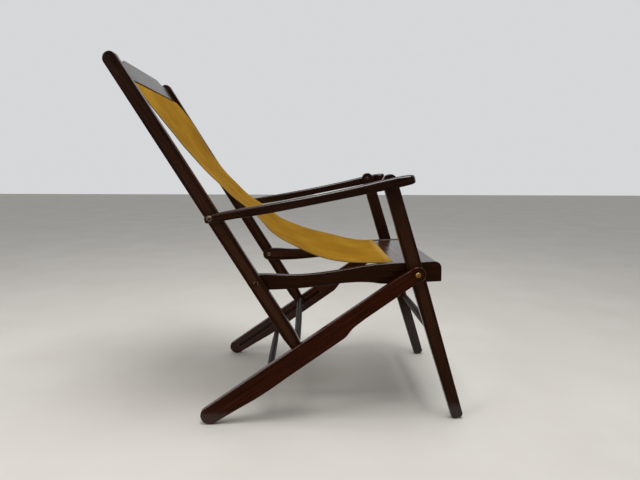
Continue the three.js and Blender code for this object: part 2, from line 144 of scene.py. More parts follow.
def new_material(name: str) -> tuple[bpy.types.Material, bpy.types.NodeTree]:
    """Makes an empty node material.

    Args:
        name: The material's name.

    Returns:
        The material and its node tree.
    """
    material = bpy.data.materials.new(name)
    material.use_nodes = True
    material.node_tree.nodes.clear()
    return material, material.node_tree


def set_ramp(node: bpy.types.Node, stops: Sequence[tuple[float, str]]) -> bpy.types.Node:
    """Sets the colours of a colour ramp.

    Args:
        node: A colour ramp node.
        stops: Positions from 0 to 1, each with an sRGB hex colour.

    Returns:
        The same node.
    """
    elements = node.color_ramp.elements
    while len(elements) < len(stops):
        elements.new(0.5)
    for element, (position, colour) in zip(elements, stops):
        element.position = position
        element.color = linear(colour)
    return node


# ---------------------------------------------------------------- finishes


@dataclass(frozen=True)
class StainedHardwood:
    """Close-grained hardwood, stained nearly black and polished by hand.

    It reads as a dark brown that turns grey where it mirrors a pale room at a low angle, with fine
    lengthwise figure and a little bare colour along the rubbed edges.
    """

    name: str = "stained_hardwood"
    deep: str = "#140703"
    mid: str = "#240f06"
    light: str = "#351708"
    rubbed: str = "#4f3122"
    roughness: float = 0.20
    polish: float = 0.42
    figure_mm: tuple[float, float] = (140.0, 5.0)  # length and width of a streak of figure
    pore_mm: tuple[float, float] = (18.0, 1.1)  # real pores are 0.2 mm wide, too fine to show

    def material(self) -> bpy.types.Material:
        """Builds the finish from the piece's own grain coordinates."""
        material, tree = new_material(self.name)
        grain = add(tree, "ShaderNodeAttribute", attribute_name="grain").outputs["Vector"]
        edge = add(tree, "ShaderNodeAttribute", attribute_name="edge").outputs["Fac"]
        streaks = []
        for (along, across), detail in ((self.figure_mm, 5.0), (self.pore_mm, 2.0)):
            scale = (1000 / along, 1000 / across, 1000 / across)
            place = add(tree, "ShaderNodeMapping", {"Vector": grain, "Scale": scale})
            inputs = {"Vector": place, "Scale": 1.0, "Detail": detail}
            inputs |= {"Roughness": 0.6, "Distortion": 0.3}
            streaks.append(add(tree, "ShaderNodeTexNoise", inputs))
        figure, pores = streaks
        blotch = add(tree, "ShaderNodeTexNoise", {"Vector": grain, "Scale": 14.0, "Detail": 3.0})
        ramp = add(tree, "ShaderNodeValToRGB", {"Fac": figure})
        set_ramp(ramp, [(0.3, self.deep), (0.52, self.mid), (0.75, self.light)])
        middle = {"From Min": 0.3, "From Max": 0.7}
        reach = {"Value": blotch, "To Min": 0.75, "To Max": 1.15}
        shade = add(tree, "ShaderNodeMapRange", middle | reach)
        tinted = add(tree, "ShaderNodeVectorMath", {0: ramp, "Scale": shade}, operation="SCALE")
        wear = add(
            tree, "ShaderNodeMath", {0: edge, 1: pores}, operation="MULTIPLY", use_clamp=True
        )
        blend = {0: wear, 6: tinted, 7: linear(self.rubbed)}
        colour = add(tree, "ShaderNodeMix", blend, data_type="RGBA")
        reach = {"Value": figure, "To Min": self.roughness - 0.07, "To Max": self.roughness + 0.1}
        rough = add(tree, "ShaderNodeMapRange", middle | reach)
        bump = add(tree, "ShaderNodeBump", {"Height": pores, "Strength": 0.12, "Distance": 0.0006})
        inputs = {"Base Color": colour.outputs[2], "Roughness": rough, "Normal": bump}
        inputs |= {"IOR": 1.5, "Specular IOR Level": self.polish}
        shader = add(tree, "ShaderNodeBsdfPrincipled", inputs)
        add(tree, "ShaderNodeOutputMaterial", {"Surface": shader})
        return material


@dataclass(frozen=True)
class CottonCanvas:
    """Heavy plain-woven cotton duck, dyed mustard and faded by use.

    The weave breaks up the light, so it looks matt, and rubbed and folded places are paler.
    """

    name: str = "cotton_duck_canvas"
    shaded: str = "#7c5508"
    dyed: str = "#8e650d"
    faded: str = "#9e791f"
    rubbed: str = "#b0924e"
    thread_mm: float = 1.5  # real yarns are about 0.8 mm apart, too fine to show
    slub_mm: tuple[float, float] = (2.381, 38.46)  # width and length of a thick place in a yarn
    roughness: float = 0.88

    def material(self) -> bpy.types.Material:
        """Builds the finish from the sheet's UV map, which holds its flat cut in metres."""
        material, tree = new_material(self.name)
        place = add(tree, "ShaderNodeUVMap", uv_map="cut")
        split = add(tree, "ShaderNodeSeparateXYZ", {0: place})
        waves = []
        for axis in ("X", "Y"):
            ends = {0: split.outputs[axis], 1: math.pi * 1000 / self.thread_mm}
            turns = add(tree, "ShaderNodeMath", ends, operation="MULTIPLY")
            waves.append(add(tree, "ShaderNodeMath", {0: turns}, operation="SINE"))
        weave = add(tree, "ShaderNodeMath", {0: waves[0], 1: waves[1]}, operation="MULTIPLY")
        scale = (1000 / self.slub_mm[0], 1000 / self.slub_mm[1], 1.0)
        slubs = add(tree, "ShaderNodeMapping", {"Vector": place, "Scale": scale})
        yarn = add(tree, "ShaderNodeTexNoise", {"Vector": slubs, "Scale": 1.0, "Detail": 3.0})
        inputs = {"Vector": place, "Scale": 7.0, "Detail": 4.0, "Roughness": 0.55}
        cloud = add(tree, "ShaderNodeTexNoise", inputs)
        both = add(
            tree, "ShaderNodeMath", {0: yarn, 1: 0.35, 2: cloud}, operation="MULTIPLY_ADD"
        )
        ramp = add(tree, "ShaderNodeValToRGB", {"Fac": both})
        set_ramp(ramp, [(0.42, self.shaded), (0.66, self.dyed), (0.95, self.faded)])
        wear = add(tree, "ShaderNodeAttribute", attribute_name="rubbed").outputs["Fac"]
        patchy = add(
            tree, "ShaderNodeMath", {0: wear, 1: cloud}, operation="MULTIPLY", use_clamp=True
        )
        blend = {0: patchy, 6: ramp, 7: linear(self.rubbed)}
        colour = add(tree, "ShaderNodeMix", blend, data_type="RGBA")
        height = add(
            tree, "ShaderNodeMath", {0: yarn, 1: 0.7, 2: weave}, operation="MULTIPLY_ADD"
        )
        bump = add(tree, "ShaderNodeBump", {"Height": height, "Strength": 0.35, "Distance": 0.0004})
        inputs = {"Base Color": colour.outputs[2], "Normal": bump, "Roughness": self.roughness}
        inputs |= {"IOR": 1.45, "Specular IOR Level": 0.06}
        shader = add(tree, "ShaderNodeBsdfPrincipled", inputs)
        add(tree, "ShaderNodeOutputMaterial", {"Surface": shader})
        return material


@dataclass(frozen=True)
class SewingThread:
    """Waxed cotton thread, a shade paler than the cloth, so that the seams just show."""

    name: str = "waxed_thread"
    shaded: str = "#96732f"
    dyed: str = "#b7934a"

    def material(self) -> bpy.types.Material:
        """Builds the finish, with a little uneven dye along the seam."""
        material, tree = new_material(self.name)
        place = add(tree, "ShaderNodeTexCoord").outputs["Object"]
        dye = add(tree, "ShaderNodeTexNoise", {"Vector": place, "Scale": 90.0, "Detail": 2.0})
        ramp = add(tree, "ShaderNodeValToRGB", {"Fac": dye})
        set_ramp(ramp, [(0.3, self.shaded), (0.7, self.dyed)])
        shader = add(tree, "ShaderNodeBsdfPrincipled", {"Base Color": ramp, "Roughness": 0.6})
        add(tree, "ShaderNodeOutputMaterial", {"Surface": shader})
        return material


@dataclass(frozen=True)
class AgedMetal:
    """Metal handled for years: bright where it is rubbed, and brown and rougher in the hollows."""

    name: str
    bright: str
    tarnished: str
    roughness: float
    metal: float
    polish: float  # how much smoother the rubbed places are
    pitting: float
    patches: tuple[float, float]
    crumble: tuple[float, float]  # detail and roughness of a stain's outline
    grit_mm: float

    def material(self) -> bpy.types.Material:
        """Builds the finish from Object coordinates."""
        material, tree = new_material(self.name)
        place = add(tree, "ShaderNodeTexCoord").outputs["Object"]
        detail, rough = self.crumble
        inputs = {"Vector": place, "Scale": 1000 / self.grit_mm, "Detail": detail}
        stain = add(tree, "ShaderNodeTexNoise", inputs | {"Roughness": rough})
        ramp = add(tree, "ShaderNodeValToRGB", {"Fac": stain})
        set_ramp(ramp, list(zip(self.patches, (self.tarnished, self.bright))))
        reach = {"To Min": self.roughness + 0.2, "To Max": self.roughness - self.polish}
        gloss = add(tree, "ShaderNodeMapRange", {"Value": stain} | reach)
        pits = {"Height": stain, "Strength": self.pitting, "Distance": 0.0003}
        inputs = {"Base Color": ramp, "Roughness": gloss, "Metallic": self.metal}
        inputs["Normal"] = add(tree, "ShaderNodeBump", pits)
        shader = add(tree, "ShaderNodeBsdfPrincipled", inputs)
        add(tree, "ShaderNodeOutputMaterial", {"Surface": shader})
        return material


@dataclass(frozen=True)
class AgedBrass(AgedMetal):
    """Turned brass screws, lacquered once, so that they gleam warmly under a thin brown stain."""

    name: str = "aged_brass"
    bright: str = "#e6c67c"
    tarnished: str = "#6e4d1f"
    roughness: float = 0.28
    metal: float = 0.85
    polish: float = 0.08
    pitting: float = 0.15
    patches: tuple[float, float] = (0.38, 0.6)
    crumble: tuple[float, float] = (4.0, 0.65)
    grit_mm: float = 5.6


@dataclass(frozen=True)
class BrownedSteel(AgedMetal):
    """Steel screws and nuts, browned with age, so that they stay dull beside the wood."""

    name: str = "browned_steel"
    bright: str = "#7d6f60"
    tarnished: str = "#2b1d14"
    roughness: float = 0.42
    metal: float = 1.0
    polish: float = 0.1
    pitting: float = 0.2
    patches: tuple[float, float] = (0.42, 0.62)
    crumble: tuple[float, float] = (5.0, 0.7)
    grit_mm: float = 4.8


# ---------------------------------------------------------------- outlines and members


class Outline:
    """A closed line in a member's plane, in millimetres, drawn point by point."""

    def __init__(self, x: float, y: float) -> None:
        """Starts the line at a point."""
        self.points: list[Vector] = [Vector((x, y))]

    def to(self, x: float, y: float) -> "Outline":
        """Adds a straight run to a point, and returns the outline."""
        if (self.points[-1] - Vector((x, y))).length > 0.02:
            self.points.append(Vector((x, y)))
        return self

    def curve(self, *handles: tuple[float, float], steps: int = 12) -> "Outline":
        """Adds a Bezier curve.

        Args:
            handles: Its control points after the current one, the last being its end.
            steps: How many straight runs stand for it.

        Returns:
            The outline.
        """
        start = [self.points[-1].copy(), *(Vector(h) for h in handles)]
        for i in range(1, steps + 1):
            level = list(start)
            while len(level) > 1:
                level = [a.lerp(b, i / steps) for a, b in zip(level, level[1:])]
            self.to(*level[0])
        return self

    def arc(self, x: float, y: float, radius: float, start: float, end: float) -> "Outline":
        """Adds an arc.

        Args:
            x: First coordinate of its centre.
            y: Second coordinate of its centre.
            radius: Its radius.
            start: Angle of its first point, in degrees.
            end: Angle of its last point, in degrees.

        Returns:
            The outline.
        """
        steps = max(3, round(abs(end - start) / 10))
        for i in range(steps + 1):
            angle = math.radians(start + (end - start) * i / steps)
            self.to(x + radius * math.cos(angle), y + radius * math.sin(angle))
        return self


@dataclass(frozen=True)
class Member:
    """A straight member's own frame: its pivot, and its angle above +X in degrees."""

    x: float
    z: float
    angle: float = 0.0

    def at(self, along: float, across: float, y: float = 0.0) -> Vector:
        """Places a point.

        Args:
            along: Distance from the pivot along the member, in millimetres.
            across: Distance across the member.
            y: Distance towards the sitter's left.

        Returns:
            The point in the chair's frame, in metres.
        """
        c, s = math.cos(math.radians(self.angle)), math.sin(math.radians(self.angle))
        return MM * Vector((self.x + along * c - across * s, y, self.z + along * s + across * c))

    def beside(self, along: float, across: float) -> "Member":
        """Gives a level frame whose pivot is a point of this one."""
        point = self.at(along, across) / MM
        return Member(point.x, point.z)


LEVEL = Member(0.0, 0.0)
POST = Member(-99.23, 379.0, 121.6)
SEAT = Member(-2.23, 0.0)


# ---------------------------------------------------------------- mesh making


def inset_directions(points: Sequence[Vector]) -> list[Vector]:
    """Finds how each point of an outline moves when the outline shrinks by one millimetre.

    Args:
        points: The outline's points, anticlockwise.

    Returns:
        One inward step for each point.
    """
    steps = []
    for i, point in enumerate(points):
        before = (point - points[i - 1]).normalized()
        after = (points[(i + 1) % len(points)] - point).normalized()
        inward = Vector((-before.y - after.y, before.x + after.x))
        steps.append(inward * (2 / max(inward.length_squared, 0.6)))
    return steps


def new_object(name: str, data: bpy.types.ID | bmesh.types.BMesh) -> bpy.types.Object:
    """Puts a mesh, a light or a camera in the scene as an object.

    Args:
        name: The object's name.
        data: What it holds. A bmesh has its faces turned outwards, and is freed.

    Returns:
        The object.
    """
    if isinstance(data, bmesh.types.BMesh):
        build, data = data, bpy.data.meshes.new(name)
        bmesh.ops.recalc_face_normals(build, faces=build.faces)
        build.to_mesh(data)
        build.free()
    piece = bpy.data.objects.new(name, data)
    bpy.context.scene.collection.objects.link(piece)
    return piece


def wrapped(name: str, rings: Sequence[Sequence[Vector]], hollow: bool = False) -> bpy.types.Object:
    """Joins rings of points, in order, into one closed skin.

    Args:
        name: The object's name.
        rings: The rings, all with as many points.
        hollow: Whether the last ring meets the first, instead of each being capped.

    Returns:
        The object.
    """
    build = bmesh.new()
    made = [[build.verts.new(point) for point in ring] for ring in rings]
    pairs = list(zip(made, made[1:]))
    if hollow:
        pairs.append((made[-1], made[0]))
    else:
        build.faces.new(made[0])
        build.faces.new(made[-1])
    for lower, upper in pairs:
        for k in range(len(lower)):
            j = (k + 1) % len(lower)
            build.faces.new((lower[k], lower[j], upper[j], upper[k]))
    return new_object(name, build)


def slab(
    name: str, outline: Outline, low: float, high: float, place: Place, ease: float
) -> bpy.types.Object:
    """Makes a board with eased edges from its outline.

    Args:
        name: The object's name.
        outline: Its outline, in millimetres.
        low: Where the board starts, across its thickness.
        high: Where it ends.
        place: Turns an outline point and a depth into a point of the chair, in metres.
        ease: Radius of its edges.

    Returns:
        The board.
    """
    points = list(outline.points)
    if (points[0] - points[-1]).length < 0.02:
        points.pop()
    if sum(a.cross(b) for a, b in zip(points, points[1:] + points[:1])) < 0:
        points.reverse()
    inward = inset_directions(points)
    turns = [math.radians(a) for a in (90.0, 67.5, 45.0, 22.5, 0.0)]
    levels = [(a, low + ease * (1 - math.sin(a))) for a in turns]
    levels += [(a, high - ease * (1 - math.sin(a))) for a in reversed(turns)]
    rings = []
    for turn, depth in levels:
        shrink = ease * (1 - math.cos(turn))
        rings.append([place(*(p + step * shrink), depth) for p, step in zip(points, inward)])
    return wrapped(name, rings)


def turned(
    name: str,
    profile: Sequence[tuple[float, float]],
    place: Place,
    segments: int = 40,
    hollow: bool = False,
) -> bpy.types.Object:
    """Makes a turned piece.

    Args:
        name: The object's name.
        profile: Pairs of radius and depth along the axis, in order.
        place: Turns a point of the piece's plane and a depth into a point of the mesh.
        segments: How many facets it has round its axis.
        hollow: Whether the profile closes on itself, as a ring's does.

    Returns:
        The turned object.
    """
    turns = [2 * math.pi * k / segments for k in range(segments)]
    rings = []
    for radius, depth in profile:
        rings.append([place(radius * math.cos(a), radius * math.sin(a), depth) for a in turns])
    return wrapped(name, rings, hollow)


def spindle(half: float, end_radius: float, mid_radius: float) -> list[tuple[float, float]]:
    """Draws a cross bar that swells from its ends to its middle.

    Args:
        half: Half its length.
        end_radius: Its radius at the ends.
        mid_radius: Its radius in the middle.

    Returns:
        Pairs of radius and y.
    """
    steps = 16
    run = [i / steps for i in range(-steps, steps + 1)]
    swells = [max(0.0, math.cos(t * math.pi / 2)) ** 0.8 for t in run]
    return [(end_radius + (mid_radius - end_radius) * s, t * half) for s, t in zip(swells, run)]


def rod_cutter(centre: Member, radius: float, y0: float, y1: float) -> bpy.types.Object:
    """Makes a round cutter along Y, for a hole or a notch.

    Args:
        centre: A frame whose pivot its axis goes through.
        radius: Its radius.
        y0: Where it starts.
        y1: Where it ends.

    Returns:
        The cutter object.
    """
    return turned("cutter", [(radius, y0), (radius, y1)], Member(centre.x, centre.z).at, 32)


def bake(piece: bpy.types.Object) -> bpy.types.Object:
    """Turns an object's modifiers into plain mesh, and returns the object."""
    graph = bpy.context.evaluated_depsgraph_get()
    mesh = bpy.data.meshes.new_from_object(
        piece.evaluated_get(graph), preserve_all_data_layers=True, depsgraph=graph
    )
    piece.modifiers.clear()
    piece.data = mesh
    return piece


def carve(piece: bpy.types.Object, cutters: Iterable[bpy.types.Object]) -> bpy.types.Object:
    """Cuts shapes out of a piece.

    Args:
        piece: The piece that is cut.
        cutters: The shapes, which are removed afterwards.

    Returns:
        The piece.
    """
    used = list(cutters)
    for cutter in used:
        cut = piece.modifiers.new("cut", "BOOLEAN")
        cut.operation = "DIFFERENCE"
        cut.solver = "EXACT"
        cut.object = cutter
    bpy.context.view_layer.update()
    bake(piece)
    for cutter in used:
        bpy.data.objects.remove(cutter, do_unlink=True)
    return piece


def smooth(piece: bpy.types.Object, sharp: float = 38.0) -> bpy.types.Object:
    """Shades a piece smoothly, with crisp corners and flat faces.

    Args:
        piece: The piece.
        sharp: Smallest angle of a crisp corner, in degrees.

    Returns:
        The piece.
    """
    build = bmesh.new()
    build.from_mesh(piece.data)
    bmesh.ops.remove_doubles(build, verts=build.verts, dist=1e-6)
    for face in build.faces:
        face.smooth = True
    for edge in build.edges:
        edge.smooth = not edge.is_manifold or edge.calc_face_angle(0.0) < math.radians(sharp)
    build.to_mesh(piece.data)
    build.free()
    piece.modifiers.new("weigh", "WEIGHTED_NORMAL").keep_sharp = True
    bpy.context.view_layer.update()
    return bake(piece)


def mark_grain(piece: bpy.types.Object, grain: Member, seed: int, sideways: bool) -> None:
    """Gives each point its place along and across the grain, and how far it is rubbed.

    Args:
        piece: A finished wooden piece.
        grain: The frame whose +X runs along the grain.
        seed: Number that shifts the figure, so that no two pieces look alike.
        sideways: Whether the grain runs along Y instead.
    """
    mesh = piece.data
    turn = Matrix.Rotation(math.radians(grain.angle), 3, "Y")
    shift = Vector((0.37 * seed, 0.11 * seed, 0.23 * seed))
    mesh.attributes.new("grain", "FLOAT_VECTOR", "POINT")
    mesh.attributes.new("edge", "FLOAT", "POINT")
    lines, edges = mesh.attributes["grain"].data, mesh.attributes["edge"].data
    bend = [0.0] * len(mesh.vertices)
    for polygon in mesh.polygons:
        for index in polygon.vertices:
            away = 1 - abs(polygon.normal.dot(mesh.vertices[index].normal))
            bend[index] = max(bend[index], away)
    for i, vertex in enumerate(mesh.vertices):
        x, y, z = turn @ vertex.co + shift
        lines[i].vector = (y, x, z) if sideways else (x, y, z)
        edges[i].value = min(1.0, bend[i] * 4.0)


def dress(piece: bpy.types.Object, finish: bpy.types.Material) -> bpy.types.Object:
    """Gives a piece its finish.

    Args:
        piece: The piece.
        finish: Its material.

    Returns:
        The piece.
    """
    piece.data.materials.clear()
    piece.data.materials.append(finish)
    return piece


@dataclass
class WoodShop:
    """Cuts and finishes wooden pieces alike, and fits each to its body and node."""

    tones: dict[Tone, bpy.types.Material]
    made: int = 0

    def side_board(
        self, name: str, outline: Outline, layer: float, side: Side, member: Member, ease: float
    ) -> bpy.types.Object:
        """Cuts one of a pair of boards.

        Args:
            name: Its name, without its side.
            outline: Its outline in its member's frame.
            layer: Distance of its inner face from the middle of the chair.
            side: Its side.
            member: Its member's frame.
            ease: Radius of its edges.

        Returns:
            The board.
        """
        low, high = sorted((side.value * layer, side.value * (layer + BOARD)))
        return slab(f"{name}_{side.label}", outline, low, high, member.at, ease)

    def cross_bar(
        self,
        name: str,
        centre: Member,
        profile: Sequence[tuple[float, float]],
        body: str,
        node: str,
    ) -> None:
        """Turns and fits a bar that runs across the chair.

        Args:
            name: Its name.
            centre: A frame whose pivot its axis goes through.
            profile: Pairs of radius and y.
            body: The body it moves with.
            node: The CAD node it stands for.
        """
        bar = turned(name, profile, centre.at)
        self.fit(bar, LEVEL, body, node, Tone.DULL, sideways=True)

    def fit(
        self,
        piece: bpy.types.Object,
        grain: Member,
        body: str,
        node: str,
        tone: Tone = Tone.DARK,
        sideways: bool = False,
    ) -> None:
        """Smooths, grains and polishes a piece, and puts it in its node's place.

        Args:
            piece: The piece.
            grain: Frame whose +X is along the grain.
            body: The body it moves with.
            node: The CAD node it stands for.
            tone: Its finish.
            sideways: Whether its grain runs along Y instead.
        """
        self.made += 1
        smooth(piece)
        mark_grain(piece, grain, self.made, sideways)
        dress(piece, self.tones[tone])
        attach(piece, body)
        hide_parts(node)
        log.info("made %s", piece.name)


# ---------------------------------------------------------------- back


@dataclass
class BackFrame:
    """Two long posts, a shaped crest rail between their tops and a turned bar at their feet."""

    shop: WoodShop
    width: float = 37.0
    top: float = 674.0
    pin_down: float = 219.2
    pin_radius: float = 13.0
    pin_hole: float = 5.3
    screw_hole: float = 7.5
    taper: float = 55.0
    crest_front: float = 7.0
    crest_back: float = 9.0
    crest_bottom: float = 607.0
    crest_ledge: float = 657.0
    crest_top: float = 673.0
    crest_ledge_half: float = 166.0
    crest_top_half: float = 132.0

    def outline(self) -> Outline:
        """Draws a post: straight, with a round top and a slimmer round foot."""
        half, foot = self.width / 2, -self.pin_down
        shape = Outline(foot + self.taper, -half).to(self.top - half, -half + 0.7)
        shape.arc(self.top - half, 0, half - 0.7, -90, 90)
        shape.to(foot + self.taper, half).to(foot, self.pin_radius)
        return shape.arc(foot, 0, self.pin_radius, 90, 270)

    def posts(self) -> None:
        """Makes both posts, with their holes."""
        for side in Side:
            post = self.shop.side_board("post", self.outline(), MIDDLE_LAYER, side, POST, 2.2)
            inside = side.value * (MIDDLE_LAYER - 1)
            outside = side.value * (MIDDLE_LAYER + BOARD + 1)
            seat = side.value * (MIDDLE_LAYER + BOARD - HEAD_HEIGHT - CUP_HEIGHT - GAP)
            foot = POST.beside(-self.pin_down, 0)
            holes = [
                rod_cutter(foot, self.pin_hole, inside, outside),
                rod_cutter(POST, self.screw_hole, seat, outside),
            ]
            self.shop.fit(carve(post, holes), POST, "back", f"back_post_{side.label}")

    def crest(self) -> None:
        """Makes the crest rail: a raised middle with cyma shoulders and two low ledges."""
        end, bottom, top = MIDDLE_LAYER - GAP, self.crest_bottom, self.crest_top
        ledge, rise = (self.crest_ledge_half, self.crest_ledge), self.crest_ledge + 4
        high, low, flat = self.crest_ledge_half - 8, self.crest_top_half + 14, self.crest_top_half
        shape = Outline(-end, bottom).to(end, bottom).to(end, self.crest_ledge - 3).to(*ledge)
        shape.curve((high, rise), (low, top), (flat, top)).to(-flat, top)
        shape.curve((-low, top), (-high, rise), (-ledge[0], ledge[1]))
        shape.to(-end, self.crest_ledge - 3)
        rail = slab(
            "crest",
            shape,
            -self.crest_front,
            self.crest_back,
            lambda y, along, across: POST.at(along, across, y),
            2.6,
        )
        self.shop.fit(rail, LEVEL, "back", "crest_rail", sideways=True)

    def build(self) -> None:
        """Makes the whole back."""
        self.posts()
        self.crest()
        centre = POST.beside(20 - self.pin_down, -4)
        profile = spindle(MIDDLE_LAYER - GAP, 7.5, 10.0)
        self.shop.cross_bar("foot_bar", centre, profile, "back", "recline_bar")


# ---------------------------------------------------------------- legs


@dataclass
class FrontLegs:
    """Two tapered legs with round heads at the arms, and a turned stretcher."""

    shop: WoodShop
    leg: Member = Member(320.77, 405.5, 107.5)
    up: float = 250.0
    head_width: float = 38.0
    middle_width: float = 40.0
    foot_width: float = 32.0
    foot_corner: float = 11.0
    screw_hole: float = 7.3
    stretcher_down: float = 192.0
    stretcher_forward: float = 8.0

    def outline(self) -> Outline:
        """Draws a leg, from its round head to its foot with rounded corners."""
        angle = math.radians(self.leg.angle)
        offset = self.foot_width / 2 - self.foot_corner
        down = (self.leg.z + offset * math.cos(angle) - self.foot_corner) / math.sin(angle)
        shape = Outline(0, -self.middle_width / 2).to(self.up, -self.head_width / 2)
        shape.arc(self.up, 0, self.head_width / 2, -90, 90).to(0, self.middle_width / 2)
        shape.arc(-down, offset, self.foot_corner, 90, 180)
        return shape.arc(-down, -offset, self.foot_corner, 180, 270)

    def build(self) -> None:
        """Makes both legs and the stretcher."""
        for side in Side:
            leg = self.shop.side_board(
                "fore_leg", self.outline(), MIDDLE_LAYER, side, self.leg, 2.6
            )
            seat = side.value * (MIDDLE_LAYER + BOARD - HEAD_HEIGHT - 2 * GAP)
            outside = side.value * (MIDDLE_LAYER + BOARD + 1)
            carve(leg, [rod_cutter(self.leg, self.screw_hole, seat, outside)])
            self.shop.fit(leg, self.leg, "front_legs", f"front_leg_{side.label}")
        centre = self.leg.beside(-self.stretcher_down, -self.stretcher_forward)
        profile = spindle(MIDDLE_LAYER - GAP, 8.0, 11.5)
        self.shop.cross_bar("fore_stretcher", centre, profile, "front_legs", "front_stretcher")


@dataclass
class RearLegs:
    """Two long slanting legs, each with a recline groove inside, and a turned stretcher."""

    shop: WoodShop
    leg: Member = Member(320.77, 405.5, -145.058)
    head_radius: float = 20.5
    top: float = 23.0
    neck: float = 18.5
    neck_end: float = 186.0
    belly_start: float = 246.0
    belly: float = 31.0
    belly_end: float = 545.0
    foot_radius: float = 24.3
    groove_start: float = 300.0
    groove_end: float = 648.0
    groove_width: float = 10.8
    groove_depth: float = 9.0
    notch_pitch: float = 62.0
    notch_drop: float = 3.5
    pin_at: float = 372.244

    def outline(self) -> Outline:
        """Draws a leg: a slim neck, an ogee into a deeper blade, and a round foot."""
        slope = math.radians(180 + self.leg.angle)
        foot_at = (self.leg.z - self.foot_radius) / math.sin(slope)
        side = math.degrees(math.asin(self.top / self.foot_radius))
        neck, belly, start = self.neck, self.belly, self.belly_start
        shape = Outline(8, -self.head_radius + 1).curve((40, -self.top), (80, -self.top))
        shape.to(foot_at - 24, -self.top).arc(foot_at, 0, self.foot_radius, -side, 84)
        shape.curve((610, 27), (self.belly_end, belly + 1.5))
        shape.curve((500, belly + 4), (440, belly + 1.5)).to(start + 12, belly)
        shape.curve((start - 12, belly), (start - 16, 22), (self.neck_end + 22, 20.5))
        shape.curve((self.neck_end, neck), (self.neck_end - 40, neck)).to(16, neck - 1)
        return shape.arc(0, 0, self.head_radius, 68, 279)

    def groove(self, side: Side) -> list[bpy.types.Object]:
        """Makes the shapes that cut the groove and its notches.

        Args:
            side: The leg's side.

        Returns:
            The cutters.
        """
        y0 = side.value * (OUTER_LAYER - 1)
        y1 = side.value * (OUTER_LAYER + self.groove_depth)
        radius = self.groove_width / 2
        shape = Outline(self.groove_start, -radius).to(self.groove_end, -radius)
        shape.arc(self.groove_end, 0, radius, -90, 90).to(self.groove_start, radius)
        shape.arc(self.groove_start, 0, radius, 90, 270)
        cutters = [slab("cutter", shape, min(y0, y1), max(y0, y1), self.leg.at, 0.05)]
        for step in (-1, 0, 1):
            notch = self.leg.beside(self.pin_at + step * self.notch_pitch, self.notch_drop)
            cutters.append(rod_cutter(notch, radius, y0, y1))
        return cutters

    def build(self) -> None:
        """Makes both legs and the stretcher."""
        for side in Side:
            leg = self.shop.side_board("hind_leg", self.outline(), OUTER_LAYER, side, self.leg, 3.0)
            carve(leg, self.groove(side))
            self.shop.fit(leg, self.leg, "rear_legs", f"rear_leg_{side.label}", Tone.RED)
        centre = self.leg.beside(495, 22)
        profile = spindle(OUTER_LAYER + 7.7, 7.0, 10.0)
        self.shop.cross_bar("hind_stretcher", centre, profile, "rear_legs", "rear_stretcher")


# ---------------------------------------------------------------- seat and arms


@dataclass
class SeatFrame:
    """Two shaped side rails and the flat board that joins them at the front."""

    shop: WoodShop
    board_back: float = 252.0
    board_front: float = 384.0
    board_thickness: float = 18.0
    board_top: float = 432.0
    rear_radius: float = 21.0
    rear_pivot: tuple[float, float] = (-97.0, 379.0)
    front_pivot: tuple[float, float] = (323.0, 405.5)
    nut_hole: float = 8.5
    nut_depth: float = 6.0

    def rail_outline(self) -> Outline:
        """Draws a side rail: slim and hollow at the back, and deeper at the front."""
        x, z = self.rear_pivot
        shape = Outline(x, z - self.rear_radius).curve((-40, 357), (30, 361), (90, 370))
        shape.curve((140, 378), (190, 380), (216, 376)).curve((235, 372), (262, 374))
        shape.to(392, 380).curve((395, 380), (395, 384), steps=5).to(394, 418)
        shape.curve((391, 434), (372, 434)).to(310, 431)
        shape.curve((220, 429), (190, 422), (130, 411), steps=16)
        shape.curve((60, 400), (10, 394), (-45, 399), steps=16).curve((-70, 401), (-92, 399.6))
        return shape.arc(x, z, self.rear_radius, 83, 270)

    def board_outline(self) -> Outline:
        """Draws the front board in section, with a rounded nose."""
        back, nose, tip = self.board_back, self.board_front - 7, self.board_front + 3
        top, deep = self.board_top, self.board_thickness
        shape = Outline(back, top - 5.5 - deep).to(nose, top - deep)
        shape.curve((self.board_front, top - deep), (tip, top - deep / 2))
        return shape.curve((tip, top), (nose, top)).to(back, top - 5.5)

    def build(self) -> None:
        """Makes the rails and the board."""
        for side in Side:
            outline = self.rail_outline()
            rail = self.shop.side_board("side_rail", outline, INNER_LAYER, side, SEAT, 2.4)
            inside = side.value * (INNER_LAYER - 1)
            seat = side.value * (INNER_LAYER + self.nut_depth)
            pivots = (SEAT.beside(*self.rear_pivot), SEAT.beside(*self.front_pivot))
            carve(rail, [rod_cutter(pivot, self.nut_hole, inside, seat) for pivot in pivots])
            self.shop.fit(rail, LEVEL, "seat", f"seat_rail_{side.label}")
        half = INNER_LAYER - GAP
        board = slab("front_board", self.board_outline(), -half, half, SEAT.at, 1.2)
        self.shop.fit(board, LEVEL, "seat", "seat_front_board", sideways=True)


def blend_along(x: float, stops: Sequence[tuple[float, float]]) -> float:
    """Reads a smooth curve through a few stops.

    Args:
        x: Where to read it.
        stops: Pairs of place and value, in order.

    Returns:
        The value at that place.
    """
    x = min(max(x, stops[0][0]), stops[-1][0])
    for i, ((x0, y0), (x1, y1)) in enumerate(zip(stops, stops[1:])):
        if x <= x1:
            break
    before, after = stops[max(0, i - 1)], stops[min(len(stops) - 1, i + 2)]
    leave = (y1 - before[1]) / (x1 - before[0]) * (x1 - x0)
    arrive = (after[1] - y0) / (after[0] - x0) * (x1 - x0)
    t = (x - x0) / (x1 - x0)
    swing = (t**3 - 2 * t * t + t) * leave + (t**3 - t * t) * arrive
    return (2 * t**3 - 3 * t * t + 1) * y0 + swing + (3 * t * t - 2 * t**3) * y1


